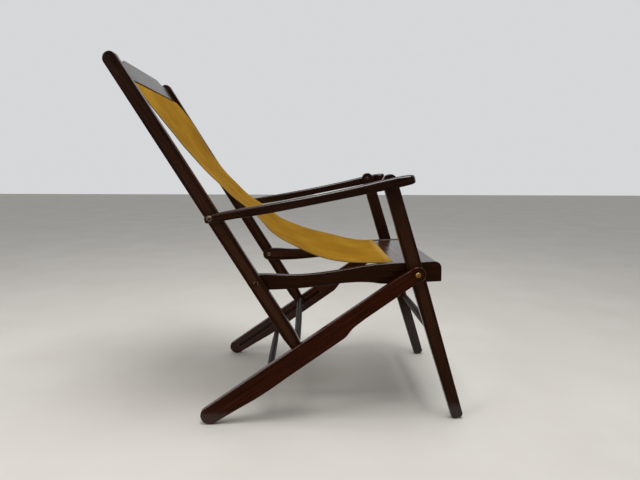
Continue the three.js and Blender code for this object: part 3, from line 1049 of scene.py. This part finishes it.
@dataclass
class Arm:
    """A slim arm with a crowned top, whose front end widens inwards into a rounded paddle."""

    shop: WoodShop
    side: Side
    arm: Member = Member(-209.53, 550.656, 11.577)
    length: float = 464.58
    tail: float = 14.0
    overhang: float = 62.0
    paddle: float = 20.0
    nose: float = 13.0
    heel: float = 5.0
    stations: int = 72
    top_line: tuple[tuple[float, float], ...] = (
        (-14, 9.0),
        (50, 9.8),
        (150, 7.2),
        (270, 5.2),
        (370, 6.0),
        (480, 9.0),
        (532, 6.0),
    )
    under_line: tuple[tuple[float, float], ...] = (
        (-14, -11.0),
        (50, -13.2),
        (150, -17.1),
        (280, -18.1),
        (490, -18.1),
        (532, -15.6),
    )

    def inner(self, x: float) -> float:
        """Distance of the inner face from the middle of the chair."""
        t = min(1.0, max(0.0, (x - self.length - 24) / 16))
        return OUTER_LAYER - self.paddle * t * t * (3 - 2 * t)

    def section(self, x: float) -> list[Vector]:
        """Draws the arm's section at one place.

        Args:
            x: Distance along the arm.

        Returns:
            The section's ring of points, in the chair's frame.
        """
        outer, inner = OUTER_LAYER + BOARD, self.inner(x)
        top, bottom = blend_along(x, self.top_line), blend_along(x, self.under_line)
        front = max(0.0, x - (self.length + self.overhang - self.nose)) / self.nose
        back = max(0.0, self.heel - self.tail - x) / self.heel
        plan = 1 - math.sqrt(max(0.0, 1 - front * front))
        side = 1 - math.sqrt(max(0.0, 1 - back * back))
        outer -= plan * 12 + side * 3
        inner += plan * 15 + side * 3
        top -= plan * 4 + side * 4
        bottom += plan * 4 + side * 4
        corners = (
            (inner, bottom, 3.0, 3.0, 180),
            (outer, bottom, 3.5, 3.5, 270),
            (outer, top, 11.0, 8.5, 0),
            (inner, top, 8.0, 7.5, 90),
        )
        ring = []
        for y, z, half_wide, half_deep, start in corners:
            a = min(half_wide, (outer - inner) / 2 - 0.2)
            b = min(half_deep, (top - bottom) / 2 - 0.2)
            cy, cz = y + (a if y == inner else -a), z + (b if z == bottom else -b)
            for k in range(9):
                angle = math.radians(start + 11.25 * k)
                across, out = cz + b * math.sin(angle), cy + a * math.cos(angle)
                ring.append(self.arm.at(x, across, self.side.value * out))
        return ring

    def build(self) -> None:
        """Makes the arm as a loft of sections."""
        reach = self.length + self.overhang
        pitch = (reach + self.tail) / self.stations
        xs = [pitch * i - self.tail for i in range(self.stations + 1)]
        xs = [x for x in xs if self.heel - self.tail < x < reach - self.nose]
        xs += [reach - self.nose * (1 - math.sin(math.radians(a))) for a in range(0, 91, 9)]
        xs += [self.heel * (1 - math.cos(math.radians(a))) - self.tail for a in range(0, 91, 15)]
        piece = wrapped(f"armrest_{self.side.label}", [self.section(x) for x in sorted(xs)])
        node = f"arm_{self.side.label}"
        self.shop.fit(piece, self.arm, node, node)


# ---------------------------------------------------------------- sling


def bump_at(x: float, centre: float, width: float) -> float:
    """Height of a smooth bump of height 1 at a place."""
    return math.exp(-(((x - centre) / width) ** 2))


@dataclass
class Sling:
    """The canvas seat: one strip that hangs from the crest rail to the front board."""

    canvas: bpy.types.Material
    thread: bpy.types.Material
    half_width: float = 202.0
    thickness: float = 1.5
    hem: float = 12.0
    hem_thickness: float = 3.0
    across_steps: int = 60
    along_steps: int = 230
    stitch_pitch: float = 5.0
    stitch_length: float = 3.1
    thread_radius: float = 0.45
    side_seam: float = 9.5
    front_seam_places: tuple[float, float] = (4.5, 10.0)
    bow: float = 5.0
    lean: float = 10.0
    blend_start: tuple[float, float, float] = (60.0, 0.0, 440.0)
    blend_end: tuple[float, float, float] = (-330.0, 0.0, 780.0)
    line: list[Vector] = field(default_factory=list)

    def key_points(self) -> list[Vector]:
        """Lists the places that the strip's middle passes through, from the top down."""
        hung = [(640, 10.2), (622, 10.2), (610, 9.6), (604.2, 7), (603, 2), (602, -4), (597, -7.5)]
        hung += [(580, -11), (540, -15.5), (480, -19.5), (430, -22), (400, -23.5), (365, -28)]
        hung += [(317, -35.5), (272, -45.5), (222, -57)]
        seat = [(-98, 548), (-54, 508), (12, 475), (72, 453), (150, 435.5), (205, 429)]
        seat += [(240, 427.9), (252, 428.1), (267, 428.9)]
        return [POST.at(*key) / MM for key in hung] + [SEAT.at(*key) / MM for key in seat]

    def skew(self, here: Vector) -> float:
        """Says how far the left edge stands behind the middle, as old canvas pulls out of true."""
        angle = math.radians(POST.angle)
        up = (here.x - POST.x) * math.cos(angle) + (here.z - POST.z) * math.sin(angle)
        stops = [(60, 0.0), (180, 8.0), (300, 8.5), (400, 6.0), (480, 1.0)]
        return blend_along(up, stops + [(530, -1.5), (585, -1.5), (603, 0.0)])

    def run(self, keys: Sequence[Vector]) -> list[Vector]:
        """Draws a smooth line through points, in equal steps.

        Args:
            keys: The points.

        Returns:
            The line's points.
        """
        dense = []
        for i in range(len(keys) - 1):
            before, a = keys[max(0, i - 1)], keys[i]
            b, after = keys[i + 1], keys[min(len(keys) - 1, i + 2)]
            span = (b - a).length
            leave = (b - before).normalized() * span
            arrive = (after - a).normalized() * span
            for t in (k / 40 for k in range(40)):
                swing = (t**3 - 2 * t**2 + t) * leave + (t**3 - t**2) * arrive
                dense.append((2 * t**3 - 3 * t**2 + 1) * a + (3 * t**2 - 2 * t**3) * b + swing)
        dense.append(keys[-1])
        lengths = [0.0]
        for a, b in zip(dense, dense[1:]):
            lengths.append(lengths[-1] + (b - a).length)
        even, j = [], 0
        for i in range(self.along_steps + 1):
            want = lengths[-1] * i / self.along_steps
            while j < len(lengths) - 2 and lengths[j + 1] < want:
                j += 1
            share = (want - lengths[j]) / max(1e-9, lengths[j + 1] - lengths[j])
            even.append(dense[j].lerp(dense[j + 1], share))
        return even

    def length(self) -> float:
        """Length of the strip, in millimetres."""
        return sum((b - a).length for a, b in zip(self.line, self.line[1:]))

    def middle(self, i: int, v: float) -> tuple[Vector, Vector]:
        """Finds the strip's middle surface.

        Args:
            i: Step along the strip.
            v: Place across it, from -1 on the sitter's right to 1 on the left.

        Returns:
            A point in millimetres, and the direction that faces the sitter.
        """
        here = self.line[i]
        ahead = self.line[min(len(self.line) - 1, i + 1)] - self.line[max(0, i - 1)]
        ahead.normalize()
        facing = Vector((-ahead.z, 0, ahead.x))
        down = (880 - here.z) / 450
        loose = max(0.0, min(1.0, down * 6)) * max(0.0, min(1.0, (235 - here.x) / 60))
        bow = -self.bow * (1 - v * v) * loose
        tip = v * (self.lean * bump_at(here.x, 95, 95) - self.skew(here))
        crease = 1.6 * bump_at(v, 0.12, 0.045) * bump_at(here.z, 800, 90)
        ripple = 0.0
        for height, pitch, across, start in ((2.4, 0.004, 3.2, 0), (0.8, 0.012, 9.0, 4)):
            place = Vector((here.x * pitch, v * across + start, here.z * pitch))
            ripple += height * noise.noise(place) * loose
        point = here + Vector((0, v * self.half_width, 0))
        return point + facing * (bow + tip + crease + ripple), facing

    def surface(self, i: int, v: float, face: int, proud: float = 0.0) -> Vector:
        """Finds a point on one face of the strip.

        Args:
            i: Step along the strip.
            v: Place across it, from -1 to 1.
            face: 1 for the face that the sitter sees, and -1 for the other.
            proud: How far the point stands off the cloth, in millimetres.

        Returns:
            The point, in metres.
        """
        point, facing = self.middle(i, v)
        return MM * (point + facing * face * (self.half_thickness(v, i) + proud))

    def half_thickness(self, v: float, i: int) -> float:
        """Gives half the strip's thickness, which is larger in its folded hems.

        Args:
            v: Place across the strip, from -1 to 1.
            i: Step along the strip.

        Returns:
            Half the thickness, in millimetres.
        """
        depth = (1 - abs(v)) * self.half_width
        if i > self.along_steps / 2:
            depth = min(depth, (self.along_steps - i) * self.length() / self.along_steps)
        share = 1 / (1 + math.exp((depth - self.hem) * 1.6))
        return (self.thickness + (self.hem_thickness - self.thickness) * share) / 2

    def wear(self, v: float, i: int) -> float:
        """Says how much a place is rubbed: most at the folds of the hems and along the seams."""
        side = (1 - abs(v)) * self.half_width
        front = (self.along_steps - i) * self.length() / self.along_steps
        fold = 0.75 * math.exp(-side / 2.5) + 0.35 * bump_at(side, self.hem, 3)
        return min(1.0, fold + 0.9 * bump_at(front, 7, 8) + 0.5 * math.exp(-front / 2))

    def columns(self) -> list[float]:
        """Places of the strip's lengthwise lines, closer together at its hems."""
        edge = [0.0, 0.8, 3.0, 6.5, 9.5, 11.2, 12.4, 14.0, 18.0]
        width, steps = 2 * self.half_width, self.across_steps
        inner = [edge[-1] + (width - 2 * edge[-1]) * k / steps for k in range(1, steps)]
        return [d / self.half_width - 1 for d in edge + inner + [width - d for d in reversed(edge)]]

    def cloth(self) -> bpy.types.Object:
        """Makes the strip as one closed skin, with its flat cut in a UV map."""
        columns, step = self.columns(), self.length() / self.along_steps
        build = bmesh.new()
        layer = build.loops.layers.uv.new("cut")
        worn = build.verts.layers.float.new("rubbed")
        flat, loops = {}, []
        for i in range(self.along_steps + 1):
            loop = []
            for face in (1, -1):
                for v in columns[::face]:
                    vertex = build.verts.new(self.surface(i, v, face))
                    vertex[worn] = self.wear(v, i)
                    flat[vertex] = (MM * v * self.half_width, MM * step * i)
                    loop.append(vertex)
            loops.append(loop)
        size = len(columns)
        for upper, lower in zip(loops, loops[1:]):
            for k in range(2 * size):
                build.faces.new((upper[k - 1], upper[k], lower[k], lower[k - 1]))
        for end in (loops[0], loops[-1]):
            for k in range(size - 1):
                build.faces.new((end[k], end[k + 1], end[-k - 2], end[-k - 1]))
        for face in build.faces:
            face.smooth = True
            for loop in face.loops:
                loop[layer].uv = flat[loop.vert]
        return new_object("sling_cloth", build)

    def side_seams(self) -> list[list[Vector]]:
        """Traces the seams along both side hems, on both faces of the cloth."""
        v, steps = 1 - self.side_seam / self.half_width, range(4, self.along_steps - 3)
        pairs = [(side, face) for side in (-1, 1) for face in (1, -1)]
        return [[self.surface(i, side * v, face, 0.12) for i in steps] for side, face in pairs]

    def front_seams(self) -> list[list[Vector]]:
        """Traces the seams across the front hem."""
        step = self.length() / self.along_steps
        rows = [self.along_steps - round(back / step) for back in self.front_seam_places]
        places = [(k / 30 - 1) * 0.985 for k in range(61)]
        return [[self.surface(i, v, 1, 0.12) for v in places] for i in rows]

    def stitches(
        self, name: str, rows: Sequence[Sequence[Vector]], tree: bpy.types.GeometryNodeTree
    ) -> bpy.types.Object:
        """Sews stitches along seams.

        Args:
            name: Name of the new piece.
            rows: The points of each seam, in metres.
            tree: The tree that sews.

        Returns:
            The stitches.
        """
        points = [point for row in rows for point in row]
        edges, start = [], 0
        for row in rows:
            edges += [(k, k + 1) for k in range(start, start + len(row) - 1)]
            start += len(row)
        mesh = bpy.data.meshes.new(name)
        mesh.from_pydata(points, edges, [])
        sizes = {"Pitch": self.stitch_pitch, "Length": self.stitch_length}
        inputs = {key: MM * size for key, size in (sizes | {"Radius": self.thread_radius}).items()}
        piece = grow(new_object(name, mesh), tree, inputs | {"Finish": self.thread})
        return dress(piece, self.thread)

    def build(self) -> None:
        """Makes the cloth and its seams along their line from the crest rail to the front board."""
        self.line = self.run(self.key_points())
        cloth = dress(self.cloth(), self.canvas)
        tree = stitch_tree()
        seams = [
            self.stitches("side_stitching", self.side_seams(), tree),
            self.stitches("front_stitching", self.front_seams(), tree),
        ]
        start, end = MM * Vector(self.blend_start), MM * Vector(self.blend_end)
        for piece in (cloth, *seams):
            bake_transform(piece)
        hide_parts("canvas_sling")
        self.length() * MM
        log.info("made the sling, %.0f mm long", self.length())


# ---------------------------------------------------------------- repeated small pieces


def new_tree(name: str, sockets: dict[str, str]) -> bpy.types.GeometryNodeTree:
    """Makes a geometry node tree that takes and gives geometry.

    Args:
        name: The tree's name.
        sockets: Its other inputs: the kind of each, by name.

    Returns:
        The tree.
    """
    tree = bpy.data.node_groups.new(name, "GeometryNodeTree")
    for label, kind in ({"Geometry": "Geometry"} | sockets).items():
        tree.interface.new_socket(label, in_out="INPUT", socket_type=f"NodeSocket{kind}")
    tree.interface.new_socket("Geometry", in_out="OUTPUT", socket_type="NodeSocketGeometry")
    return tree


def end_tree(
    tree: bpy.types.GeometryNodeTree, copies: bpy.types.Node, finish: bpy.types.NodeSocket
) -> bpy.types.GeometryNodeTree:
    """Makes a tree's copies real and gives them their finish.

    Args:
        tree: The tree.
        copies: The node that sets out the copies.
        finish: The output that gives the finish.

    Returns:
        The tree.
    """
    real = add(tree, "GeometryNodeRealizeInstances", {"Geometry": copies})
    dressed = add(tree, "GeometryNodeSetMaterial", {"Geometry": real, "Material": finish})
    add(tree, "NodeGroupOutput", {"Geometry": dressed})
    return tree


def stitch_tree() -> bpy.types.GeometryNodeTree:
    """Builds the tree that sews a row of stitches along lines."""
    kinds = {"Pitch": "Float", "Length": "Float", "Radius": "Float", "Finish": "Material"}
    tree = new_tree("stitch_row", kinds)
    given = add(tree, "NodeGroupInput").outputs
    line = add(tree, "GeometryNodeMeshToCurve", {"Mesh": given["Geometry"]})
    spacing = {"Curve": line, "Length": given["Pitch"]}
    even = add(tree, "GeometryNodeResampleCurve", spacing, mode="LENGTH")
    half = add(tree, "ShaderNodeMath", {0: given["Length"], 1: 0.5}, operation="MULTIPLY")
    size = {"X": half, "Y": given["Radius"], "Z": given["Radius"]}
    tangent = add(tree, "GeometryNodeInputTangent")
    inputs = {
        "Points": even,
        "Instance": add(tree, "GeometryNodeMeshIcoSphere", {"Radius": 1.0, "Subdivisions": 2}),
        "Rotation": add(tree, "FunctionNodeAlignRotationToVector", {"Vector": tangent}, axis="X"),
        "Scale": add(tree, "ShaderNodeCombineXYZ", size),
    }
    return end_tree(tree, add(tree, "GeometryNodeInstanceOnPoints", inputs), given["Finish"])


def driven_tree() -> bpy.types.GeometryNodeTree:
    """Builds the tree that sets a fastener at each point, turned about its axis by chance."""
    kinds = {"Pattern": "Object", "Size": "Float", "Seed": "Int", "Finish": "Material"}
    tree = new_tree("driven_fasteners", kinds)
    given = add(tree, "NodeGroupInput").outputs
    pattern = add(tree, "GeometryNodeObjectInfo", {"Object": given["Pattern"]})
    outward = add(
        tree, "GeometryNodeInputNamedAttribute", {"Name": "outward"}, data_type="FLOAT_VECTOR"
    )
    aim = add(
        tree,
        "FunctionNodeAlignRotationToVector",
        {"Vector": outward.outputs["Attribute"]},
        axis="Z",
    )
    chance = {2: 0.0, 3: math.pi, "Seed": given["Seed"]}
    spin = add(tree, "FunctionNodeRandomValue", chance, data_type="FLOAT").outputs[1]
    about = add(tree, "ShaderNodeCombineXYZ", {"Z": spin})
    euler = add(tree, "FunctionNodeEulerToRotation", {0: about})
    inputs = {
        "Points": given["Geometry"],
        "Instance": pattern.outputs["Geometry"],
        "Rotation": add(
            tree, "FunctionNodeRotateRotation", {0: aim, 1: euler}, rotation_space="LOCAL"
        ),
        "Scale": given["Size"],
    }
    return end_tree(tree, add(tree, "GeometryNodeInstanceOnPoints", inputs), given["Finish"])


def grow(
    seed_object: bpy.types.Object, tree: bpy.types.GeometryNodeTree, inputs: dict
) -> bpy.types.Object:
    """Runs a geometry node tree on an object and keeps the result as plain mesh.

    Args:
        seed_object: The object that the tree works on.
        tree: The tree.
        inputs: Values of the tree's inputs, by name.

    Returns:
        The object, with the result as its mesh.
    """
    modifier = seed_object.modifiers.new("grow", "NODES")
    modifier.node_group = tree
    items = [item for item in tree.interface.items_tree if item.in_out == "INPUT"]
    sockets = {item.name: item.identifier for item in items}
    for name, value in inputs.items():
        modifier[sockets[name]] = value
    bpy.context.view_layer.update()
    return bake(seed_object)


@dataclass(frozen=True)
class Fastener:
    """What one kind of screw or washer is: its shape, its radius and height, and its finish."""

    pattern: bpy.types.Object
    radius: float
    height: float
    finish: bpy.types.Material


@dataclass
class Fasteners:
    """The slotted screws, cup washers, nuts and pins at the chair's pivots."""

    brass: bpy.types.Material
    dulled: bpy.types.Material
    steel: bpy.types.Material
    shank: float = 3.0
    small_head: float = 4.4
    large_head: float = 7.0
    cup_radius: float = 7.2
    cup_hole: float = 3.3

    def lathe(
        self, name: str, profile: Sequence[tuple[float, float]], hollow: bool = False
    ) -> bpy.types.Object:
        """Turns a profile about Z, in units of the piece's radius.

        Args:
            name: The object's name.
            profile: Pairs of radius and height.
            hollow: Whether the profile closes on itself, as a ring's does.

        Returns:
            The turned object.
        """
        return turned(name, profile, lambda x, y, z: Vector((x, y, z)), 32, hollow)

    def screw(self, head: float, length: float) -> Fastener:
        """Makes one slotted screw, pointing up, with its head's underside at the origin.

        Args:
            head: Radius of its head, in millimetres.
            length: Length of its shank, in millimetres.

        Returns:
            The screw, in units of the head's radius.
        """
        high, shank, deep = HEAD_HEIGHT / head, self.shank / head, length / head
        dome = [math.radians(10 * k) for k in range(9, 0, -1)]
        profile = [(shank * 0.6, -deep), (shank, 0.2 - deep), (shank, 0), (0.97, 0), (1.0, 0.05)]
        profile += [(0.995 * math.sin(a), 0.08 + (high - 0.08) * math.cos(a)) for a in dome]
        pattern = self.lathe("screw_pattern", profile)
        slot = bmesh.new()
        bmesh.ops.create_cube(slot, size=1.0)
        bmesh.ops.scale(slot, vec=(2.4, 0.2, 0.4), verts=slot.verts)
        bmesh.ops.translate(slot, vec=(0, 0, high + 0.02), verts=slot.verts)
        carve(pattern, [new_object("slot_cutter", slot)])
        finish = self.brass if head > self.small_head else self.steel
        return Fastener(smooth(pattern, 30.0), head, HEAD_HEIGHT, finish)

    def cup(self, finish: bpy.types.Material) -> Fastener:
        """Makes one cup washer: a rolled rim round a hollow.

        Args:
            finish: Its material.

        Returns:
            The washer, in units of its radius, standing on the origin.
        """
        hole, thickness = self.cup_hole / self.cup_radius, CUP_HEIGHT / self.cup_radius
        middle, half = (1 + hole) / 2, (1 - hole) / 2
        ring = [(hole, 0.0), (1.0, 0.0)]
        for turn in (math.radians(20 * k) for k in range(10)):
            height = thickness * (0.35 + 0.65 * math.sin(turn))
            ring.append((middle + half * math.cos(turn), height))
        pattern = smooth(self.lathe("cup_pattern", ring, True), 50.0)
        return Fastener(pattern, self.cup_radius, CUP_HEIGHT, finish)

    def place(
        self, name: str, body: str, nodes: Sequence[str], fastener: Fastener, seed: int
    ) -> None:
        """Sets copies of a fastener where CAD nodes stand, and hides those nodes.

        Args:
            name: Name of the new piece.
            body: The body it moves with.
            nodes: The CAD nodes, all alike.
            fastener: The fastener, whose pattern is removed afterwards.
            seed: Seed of the copies' turns.
        """
        places, directions = [], []
        for node in nodes:
            low, high = (Vector(corner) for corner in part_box(node))
            sign = 1.0 if node.endswith("left") else -1.0
            if node.startswith("arm_front"):
                sign = -sign
            outer = high.y if sign > 0 else low.y
            depth = outer - sign * fastener.height * MM
            places.append(((low.x + high.x) / 2, depth, (low.z + high.z) / 2))
            directions.append((0.0, sign, 0.0))
        mesh = bpy.data.meshes.new(name)
        mesh.from_pydata(places, [], [])
        outward = mesh.attributes.new("outward", "FLOAT_VECTOR", "POINT")
        for item, direction in zip(outward.data, directions):
            item.vector = direction
        inputs = {"Pattern": fastener.pattern, "Size": fastener.radius * MM, "Seed": seed}
        piece = grow(new_object(name, mesh), driven_tree(), inputs | {"Finish": fastener.finish})
        dress(piece, fastener.finish)
        bpy.data.objects.remove(fastener.pattern, do_unlink=True)
        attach(piece, body)
        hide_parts(*nodes)
        log.info("made %s", name)

    def build(self) -> None:
        """Sets every screw and washer, and finishes the nuts and pins that the CAD made."""
        both = [side.label for side in Side]
        small, large = self.small_head, self.large_head
        screws = [
            ("back_pivot_screws", "seat", "back_pivot_bolt", both, small, 3),
            ("leg_pivot_screws", "seat", "leg_pivot_bolt", both, large, 4),
            ("arm_front_screws", "front_legs", "arm_front_screw", both, small, 5),
            ("rear_leg_screws", "rear_legs", "rear_leg_screw", both, large, 6),
            ("arm_screw_left", "arm_left", "arm_back_screw", ["left"], small, 11),
            ("arm_screw_right", "arm_right", "arm_back_screw", ["right"], small, 11),
        ]
        for name, body, node, sides, head, seed in screws:
            nodes = [f"{node}_{label}" for label in sides]
            low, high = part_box(nodes[0])
            screw = self.screw(head, (high[1] - low[1]) / MM - HEAD_HEIGHT)
            self.place(name, body, nodes, screw, seed)
        cups = [
            ("back_pivot_cups", "back", "back_pivot_washer", both, self.dulled),
            ("arm_front_cups", "front_legs", "arm_front_washer", both, self.steel),
            ("arm_cup_left", "arm_left", "arm_back_washer", ["left"], self.dulled),
            ("arm_cup_right", "arm_right", "arm_back_washer", ["right"], self.dulled),
        ]
        for seed, (name, body, node, sides, finish) in enumerate(cups):
            nodes = [f"{node}_{label}" for label in sides]
            self.place(name, body, nodes, self.cup(finish), seed)
        plain = {"back_pivot_nut": self.dulled, "leg_pivot_nut": self.steel}
        for node, finish in (plain | {"recline_pin": self.steel}).items():
            for label in both:
                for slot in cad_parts[f"{node}_{label}"].material_slots:
                    slot.material = finish


# ---------------------------------------------------------------- studio


@dataclass
class Studio:
    """A pale floor, a pale surround and soft lights."""

    eye: tuple[float, float, float] = (35.2, -1471.4, 671.3)
    pitch: float = 0.1433
    yaw: float = 0.0267
    roll: float = 0.0042
    lens: float = 27.14
    floor_reach: float = 12.0
    dim: float = 0.05
    bright: float = 0.74

    def camera(self) -> None:
        """Sets up the camera."""
        level, down = math.cos(self.pitch), math.sin(self.pitch)
        ahead = Vector((math.sin(self.yaw) * level, math.cos(self.yaw) * level, -down))
        right = Vector((math.cos(self.yaw), -math.sin(self.yaw), 0))
        up = right.cross(ahead)
        level_right = right * math.cos(self.roll) + up * math.sin(self.roll)
        level_up = up * math.cos(self.roll) - right * math.sin(self.roll)
        data = bpy.data.cameras.new("camera")
        data.lens = self.lens
        data.sensor_width = 36.0
        camera = new_object("camera", data)
        turn = Matrix((level_right, level_up, -ahead)).transposed().to_4x4()
        camera.matrix_world = Matrix.Translation(MM * Vector(self.eye)) @ turn
        bpy.context.scene.camera = camera
        bpy.context.scene.view_settings.view_transform = "Standard"

    def floor(self) -> None:
        """Lays a wide pale floor."""
        r = self.floor_reach
        mesh = bpy.data.meshes.new("floor")
        mesh.from_pydata([(-r, -r, 0), (r, -r, 0), (r, r, 0), (-r, r, 0)], [], [(0, 1, 2, 3)])
        material, tree = new_material("painted_floor")
        place = add(tree, "ShaderNodeTexCoord").outputs["Object"]
        mottle = add(tree, "ShaderNodeTexNoise", {"Vector": place, "Scale": 3.0, "Detail": 4.0})
        ramp = add(tree, "ShaderNodeValToRGB", {"Fac": mottle})
        set_ramp(ramp, [(0.3, "#d8d3cb"), (0.7, "#dedad3")])
        inputs = {"Base Color": ramp, "Roughness": 0.7, "Specular IOR Level": 0.1}
        shader = add(tree, "ShaderNodeBsdfPrincipled", inputs)
        add(tree, "ShaderNodeOutputMaterial", {"Surface": shader})
        mesh.materials.append(material)
        new_object("floor", mesh)

    def dark_card(self) -> None:
        """Lays a dim, warm glowing card on the floor before the chair, which only reflections see:
        it paints a warm brown reflection into the wood's polish.
        """
        mesh = bpy.data.meshes.new("dark_card")
        corners = [(-7.0, -9.0), (7.0, -9.0), (7.0, -0.32), (-7.0, -0.32)]
        mesh.from_pydata([(x, y, 0.001) for x, y in corners], [], [(0, 1, 2, 3)])
        material, tree = new_material("warm_card")
        # A glow that is no lamp: a painted reflection of a brown floor, seen only by glossy rays.
        glow = add(tree, "ShaderNodeEmission", {"Color": (0.16, 0.07, 0.025, 1.0), "Strength": 1.0})
        add(tree, "ShaderNodeOutputMaterial", {"Surface": glow})
        mesh.materials.append(material)
        card = new_object("dark_card", mesh)
        card.visible_camera = False
        card.visible_diffuse = False
        card.visible_shadow = False
        card.visible_transmission = False

    def surround(self) -> None:
        """Makes the world: bright on the far side of the chair and dimmer behind the near side."""
        world = bpy.data.worlds.new("surround")
        bpy.context.scene.world = world
        world.use_nodes = True
        tree = world.node_tree
        tree.nodes.clear()
        place = add(tree, "ShaderNodeTexCoord").outputs["Generated"]
        depth = add(tree, "ShaderNodeSeparateXYZ", {0: place}).outputs["Y"]
        reach = {"From Min": -0.35, "From Max": 0.15, "To Min": self.dim, "To Max": self.bright}
        light = add(tree, "ShaderNodeMapRange", {"Value": depth} | reach)
        seen = add(tree, "ShaderNodeLightPath").outputs["Is Camera Ray"]
        level = add(tree, "ShaderNodeMix", {0: seen, 2: light, 3: self.bright}, data_type="FLOAT")
        inputs = {"Color": linear("#f4f6f8"), "Strength": level}
        glow = add(tree, "ShaderNodeBackground", inputs)
        add(tree, "ShaderNodeOutputWorld", {"Surface": glow})

    def lamp(self, name: str, at: tuple, aim: tuple, size: float, power: float) -> None:
        """Hangs a square area light.

        Args:
            name: The light's name.
            at: Its place, in metres.
            aim: The point that it faces.
            size: Its side, in metres.
            power: Its power, in watts.
        """
        data = bpy.data.lights.new(name, "AREA")
        data.size = size
        data.energy = power
        lamp = new_object(name, data)
        lamp.location = at
        lamp.rotation_euler = (Vector(aim) - Vector(at)).to_track_quat("-Z", "Y").to_euler()

    def build(self) -> None:
        """Sets up the camera, the floor and the lights."""
        self.camera()
        self.floor()
        self.dark_card()
        self.surround()
        self.lamp("ceiling_light", (0.1, -0.5, 2.7), (0.05, 0, 0.4), 1.3, 46.0)
        self.lamp("window", (-2.4, -1.9, 1.9), (0, 0, 0.5), 1.2, 26.0)


# ---------------------------------------------------------------- assembly


def main() -> None:
    """Builds the chair in order."""
    logging.basicConfig(level=logging.INFO, format="%(name)s: %(message)s")
    Studio().build()
    reddened = {"deep": "#1e0702", "mid": "#340e02", "light": "#4a1804"}
    tones = {
        Tone.DARK: StainedHardwood(),
        Tone.RED: StainedHardwood("reddened_hardwood", **reddened),
        Tone.DULL: StainedHardwood("waxless_hardwood", roughness=0.45, polish=0.12),
    }
    shop = WoodShop({tone: finish.material() for tone, finish in tones.items()})
    for part in (BackFrame, FrontLegs, RearLegs, SeatFrame):
        part(shop).build()
    for side in Side:
        Arm(shop, side).build()
    dulled = AgedBrass("dulled_brass", "#b3a287", "#54442f", roughness=0.5, metal=0.3)
    finishes = (finish.material() for finish in (AgedBrass(), dulled, BrownedSteel()))
    Fasteners(*finishes).build()
    Sling(CottonCanvas().material(), SewingThread().material()).build()


if __name__ == "__main__":
    main()
